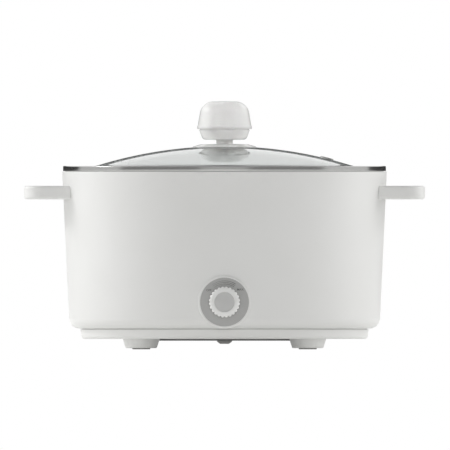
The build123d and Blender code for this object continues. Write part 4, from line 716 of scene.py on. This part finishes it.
groove_edge = -0.2            # where a groove begins, from -1 on a ridge to 1 in a groove
groove_bed = 0.95             # and where it is full deep


def fluting_tree():
    """Geometry nodes that press grooves into the side of a turned blank, fading out towards its front."""
    tree, given = begin_tree("fluting", "Blank", ("Flutes", "Depth", "Full below", "None above",
                                                  "Inner radius", "Outer radius"))
    place = add(tree, "GeometryNodeInputPosition")
    parts = add(tree, "ShaderNodeSeparateXYZ", {0: place})
    flat = add(tree, "ShaderNodeCombineXYZ", {"X": parts.outputs["X"], "Y": parts.outputs["Y"]})
    reach = add(tree, "ShaderNodeVectorMath", {0: flat}, operation="LENGTH")
    round_about = add(tree, "ShaderNodeMath", {0: parts.outputs["Y"], 1: parts.outputs["X"]},
                      operation="ARCTAN2")
    turned = add(tree, "ShaderNodeMath", {0: round_about, 1: given["Flutes"]}, operation="MULTIPLY")
    wave = add(tree, "ShaderNodeMath", {0: turned}, operation="COSINE")
    groove = add(tree, "ShaderNodeMapRange", {"Value": wave, "From Min": groove_edge,
                                              "From Max": groove_bed}, interpolation_type="SMOOTHSTEP")
    fade = add(tree, "ShaderNodeMapRange", {"Value": parts.outputs["Z"], "From Min": given["None above"],
                                            "From Max": given["Full below"]})
    side = add(tree, "ShaderNodeMapRange", {"Value": reach.outputs["Value"],
                                            "From Min": given["Inner radius"],
                                            "From Max": given["Outer radius"]})
    fading = add(tree, "ShaderNodeMath", {0: fade, 1: side}, operation="MULTIPLY")
    share = add(tree, "ShaderNodeMath", {0: groove, 1: fading}, operation="MULTIPLY")
    depth = add(tree, "ShaderNodeMath", {0: share, 1: given["Depth"]}, operation="MULTIPLY")
    outwards = add(tree, "ShaderNodeVectorMath", {0: flat}, operation="NORMALIZE")
    offset = add(tree, "ShaderNodeVectorMath", {0: outwards, "Scale": depth}, operation="SCALE")
    inwards = add(tree, "ShaderNodeVectorMath", {0: offset, "Scale": -1.0}, operation="SCALE")
    pressed = add(tree, "GeometryNodeSetPosition", {"Geometry": given["Blank"], "Offset": inwards})
    return end_tree(tree, given, pressed)


# The knob's axis points to the front: it is turned upright and then laid over, so
# a height here is a distance in front of the pot's axis
dial_low, dial_high = [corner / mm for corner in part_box("dial_knob")]
dial_depth = 10.5
dial_front = -dial_low.y
dial_back = dial_front - dial_depth
dial_r = dial_high.x
dial_draft = 0.6              # by which the front is smaller than the back
dial_front_r = dial_r - dial_draft
dial_skin = 1.7
dial_bevel = 4.4
disc_r = 9.5
disc_sunk = 1.4
disc_edge_round = 0.3
disc_floor = dial_front - disc_sunk
hub_r = 5.4
shaft_r = 3.05
rim_round = 0.15
hollow_round = 1.0
flute_count = 24.0
flute_depth = 1.1
flute_stop = 0.5              # behind the front, where the flutes have faded out
flute_in = 1.0                # inside the front's radius, where they have faded out
flute_out = 0.2               # and where they are full deep
blank = turn("dial_blank", [
    (0, disc_floor, 0),
    (disc_r, disc_floor, 0),
    (disc_r, dial_front, disc_edge_round),
    (dial_front_r, dial_front, dial_bevel),
    (dial_r, dial_back, rim_round),
    (dial_r - dial_skin, dial_back, rim_round),
    (dial_front_r - dial_skin, disc_floor - dial_skin, hollow_round),
    (hub_r, disc_floor - dial_skin, 0),
    (hub_r, -dial_high.y, 0),
    (shaft_r, -dial_high.y, 0),
    (shaft_r, disc_floor - dial_skin, 0),
    (0, disc_floor - dial_skin, 0),
], gloss_white, steps=384, arc_steps=10)
# The flutes run full depth up the side and fade out over the bevel
knurled = grow("fluted_dial", fluting_tree(), blank.data, Flutes=flute_count, Depth=flute_depth * mm,
               Full_below=(dial_front - dial_bevel) * mm, None_above=(dial_front - flute_stop) * mm,
               Inner_radius=(dial_front_r - flute_in) * mm, Outer_radius=(dial_front_r - flute_out) * mm,
               Finish=gloss_white)
bpy.data.objects.remove(blank)
dial_middle = (dial_low + dial_high).z / 2 * mm
knurled.data.transform(Matrix.Translation((0, 0, dial_middle)) @ Matrix.Rotation(pi / 2, 4, "X"))
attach(knurled, "dial")
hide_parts("dial_knob")

# --------------------
# Scale of the dial: pad printed on the plate in dark grey ink, which stands a
# few hundredths of a millimetre proud and is matt. Three lines swell to MAX.
# --------------------

ink_speck = 0.3               # finer in life: this is what shows
ink, tree, place = new_finish("pad printed grey ink")
speck = add(tree, "ShaderNodeTexNoise", {"Vector": place, "Scale": 1 / (ink_speck * mm), "Detail": 3.0})
tone = add(tree, "ShaderNodeMix", {0: speck, 6: linear("#5E5E5C"), 7: linear("#6C6C6A")}, data_type="RGBA")
gloss = add(tree, "ShaderNodeMapRange", {"Value": speck, "To Min": 0.45, "To Max": 0.6})
shader = add(tree, "ShaderNodeBsdfPrincipled", {"Base Color": tone, "Roughness": gloss, "IOR": 1.5})
add(tree, "ShaderNodeOutputMaterial", {"Surface": shader})

ink_height = 0.05 * mm
line_first = 127              # turn where the lines begin, by OFF
line_last = 58                # and where they end, by MAX
line_steps = 40
line_thin = 0.06              # half the width of a line where it begins
line_swell = 0.22             # and what it gains
letter_height = 2.9
letter_bold = 0.03            # what makes the strokes bolder
plate_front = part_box("dial_plate")[0].y
printed = bmesh.new()
for line_r in (17.2, 18.7, 20.2):
    last = None
    for i in range(line_steps + 1):
        at = radians(line_first + (line_last - line_first) * i / line_steps)
        half = (line_thin + line_swell * i / line_steps) * mm
        section = []
        for r, y in ((line_r * mm - half, 0), (line_r * mm + half, 0), (line_r * mm + half, ink_height),
                     (line_r * mm - half, ink_height)):
            section.append(printed.verts.new((r * cos(at), plate_front - y, dial_middle + r * sin(at))))
        if last:
            for k in range(4):
                printed.faces.new((last[k], last[k - 1], section[k - 1], section[k]))
        else:
            printed.faces.new(section)
        last = section
    printed.faces.new(last[::-1])
for word, at, word_r in (("OFF", 143, 18.7), ("MAX", 38, 19.2)):
    letters = bpy.data.curves.new(word, "FONT")
    letters.body = word
    letters.size = letter_height * mm
    letters.extrude = ink_height / 2
    letters.offset = letter_bold * mm
    letters.align_x = "CENTER"
    letters.align_y = "CENTER"
    lettered = bpy.data.objects.new(word, letters)
    scene.collection.objects.link(lettered)
    mesh = bpy.data.meshes.new_from_object(lettered.evaluated_get(bpy.context.evaluated_depsgraph_get()))
    bpy.data.objects.remove(lettered)
    spot = Vector((word_r * mm * cos(radians(at)), plate_front - ink_height / 2,
                   dial_middle + word_r * mm * sin(radians(at))))
    mesh.transform(Matrix.Translation(spot) @ Matrix.Rotation(pi / 2, 4, "X"))
    printed.from_mesh(mesh)
bmesh.ops.remove_doubles(printed, verts=printed.verts, dist=weld * mm)
bmesh.ops.recalc_face_normals(printed, faces=printed.faces)
scale_mesh = bpy.data.meshes.new("dial_scale")
printed.to_mesh(scale_mesh)
printed.free()
scale_mesh.materials.append(ink)
scale = bpy.data.objects.new("dial_scale", scale_mesh)
scene.collection.objects.link(scale)
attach(scale, "base")

# --------------------
# Lid glass: one disc of soda-lime glass, sagged to a dome and tempered, with a
# level border. It takes a faint green-grey cast where one looks along it.
# --------------------

clear, tree, place = new_finish("tempered soda-lime glass")
shader = add(tree, "ShaderNodeBsdfPrincipled", {"Base Color": linear("#F6F8F7"), "Roughness": 0.0,
                                                "IOR": 1.52, "Transmission Weight": 1.0})
cast_of_glass = add(tree, "ShaderNodeVolumeAbsorption", {"Color": linear("#C3CCC9"), "Density": 20.0})
add(tree, "ShaderNodeOutputMaterial", {"Surface": shader, "Volume": cast_of_glass})

glass_low, glass_high = [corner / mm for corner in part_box("lid_glass")]
dome_r = 409.0
glass_wall = 3.6
glass_blend = 42.0            # radius of the bend from the dome to the border
knob_hole_r = 5.0
edge_round = 1.2
dome_steps = 40
blend_steps = 10
border_top = glass_low.z + glass_wall
dome_middle = glass_high.z - sqrt(dome_r ** 2 - knob_hole_r ** 2)
blend_middle = border_top + glass_blend
reach = dome_r + glass_blend
blend_r = sqrt(reach ** 2 - (blend_middle - dome_middle) ** 2)
slope = degrees(atan2(blend_r, blend_middle - dome_middle))
outer = arc(0, dome_middle, dome_r, degrees(knob_hole_r / dome_r), slope, dome_steps)
outer += arc(blend_r, blend_middle, glass_blend, slope + 180, 180, blend_steps)
inner = arc(blend_r, blend_middle, glass_blend + glass_wall, 180, slope + 180, blend_steps)
inner += arc(0, dome_middle, dome_r - glass_wall, slope, degrees(knob_hole_r / dome_r), dome_steps)
glass = turn("glass_dome", outer + [
    (glass_high.x, border_top, edge_round),
    (glass_high.x, glass_low.z, edge_round),
] + inner, clear, steps=256, arc_steps=6)

# Hole for the steam vent, drilled square to the dome before tempering
vent_low, vent_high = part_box("vent_eyelet")
vent_middle = (vent_low + vent_high) / 2
vent_hole_r = 4.4
drill_length = 6 * glass_wall
drill = bmesh.new()
bmesh.ops.create_cone(drill, cap_ends=True, segments=48, radius1=vent_hole_r * mm,
                      radius2=vent_hole_r * mm, depth=drill_length * mm)
drill_mesh = bpy.data.meshes.new("drill")
drill.to_mesh(drill_mesh)
drill.free()
dome_point = Vector((0, 0, dome_middle * mm))
lean = (vent_middle - dome_point).to_track_quat("Z", "Y").to_matrix().to_4x4()
drill_mesh.transform(Matrix.Translation(vent_middle) @ lean)
drill_piece = bpy.data.objects.new("drill", drill_mesh)
scene.collection.objects.link(drill_piece)
hole = glass.modifiers.new("vent hole", "BOOLEAN")
hole.operation = "DIFFERENCE"
hole.object = drill_piece
drilled = bpy.data.meshes.new_from_object(glass.evaluated_get(bpy.context.evaluated_depsgraph_get()))
glass.modifiers.remove(hole)
glass.data = drilled
bpy.data.objects.remove(drill_piece)
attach(glass, "lid")
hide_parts("lid_glass")

# --------------------
# Rim band and steam vent: stainless strip rolled around the edge of the glass
# and polished with a wheel that runs along it, which draws its shine out around
# the rim, and a swaged steel eyelet
# --------------------

polish_line = 0.35            # finer in life: this is what shows
stainless, tree, place = new_finish("polished stainless strip")
parts = add(tree, "ShaderNodeSeparateXYZ", {0: place})
flat = add(tree, "ShaderNodeCombineXYZ", {"X": parts.outputs["X"], "Y": parts.outputs["Y"]})
out = add(tree, "ShaderNodeVectorMath", {0: flat}, operation="LENGTH")
round_about = add(tree, "ShaderNodeCombineXYZ", {"X": out.outputs["Value"], "Z": parts.outputs["Z"]})
lines = add(tree, "ShaderNodeTexNoise", {"Vector": round_about, "Scale": 1 / (polish_line * mm),
                                         "Detail": 3.0})
tone = add(tree, "ShaderNodeMix", {0: lines, 6: linear("#C3C3C2"), 7: linear("#D2D2D0")}, data_type="RGBA")
gloss = add(tree, "ShaderNodeMapRange", {"Value": lines, "To Min": 0.10, "To Max": 0.22})
bump = add(tree, "ShaderNodeBump", {"Height": lines, "Distance": 0.004 * mm, "Strength": 0.4})
shader = add(tree, "ShaderNodeBsdfPrincipled", {"Base Color": tone, "Metallic": 1.0, "Roughness": gloss,
                                                "Normal": bump})
add(tree, "ShaderNodeOutputMaterial", {"Surface": shader})
dress(stainless, "vent_eyelet")

band_low, band_high = [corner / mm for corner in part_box("lid_rim_band")]
band_wall = 0.6
band_lip = 8.0                # how far the strip reaches in over the glass
band_base = glass_low.z - band_wall
skirt_r = 143.6               # of the step down that centres the lid in the pot
band_edge_round = 0.9
hem = 0.28                    # rounding of the strip's edges
band = turn("rim_strip", [
    (band_high.x, band_base, hem),
    (band_high.x, band_high.z, band_edge_round),
    (band_high.x - band_lip, band_high.z, hem),
    (band_high.x - band_lip, band_high.z - band_wall, hem),
    (band_high.x - band_wall, band_high.z - band_wall, hem),
    (band_high.x - band_wall, glass_low.z, hem),
    (skirt_r - band_wall, glass_low.z, hem),
    (skirt_r - band_wall, band_low.z, hem),
    (skirt_r, band_low.z, hem),
    (skirt_r, band_base, hem),
], stainless, steps=256, arc_steps=6)
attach(band, "lid")
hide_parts("lid_rim_band")

# --------------------
# The plain colour view
# --------------------

scene.view_settings.view_transform = "Standard"
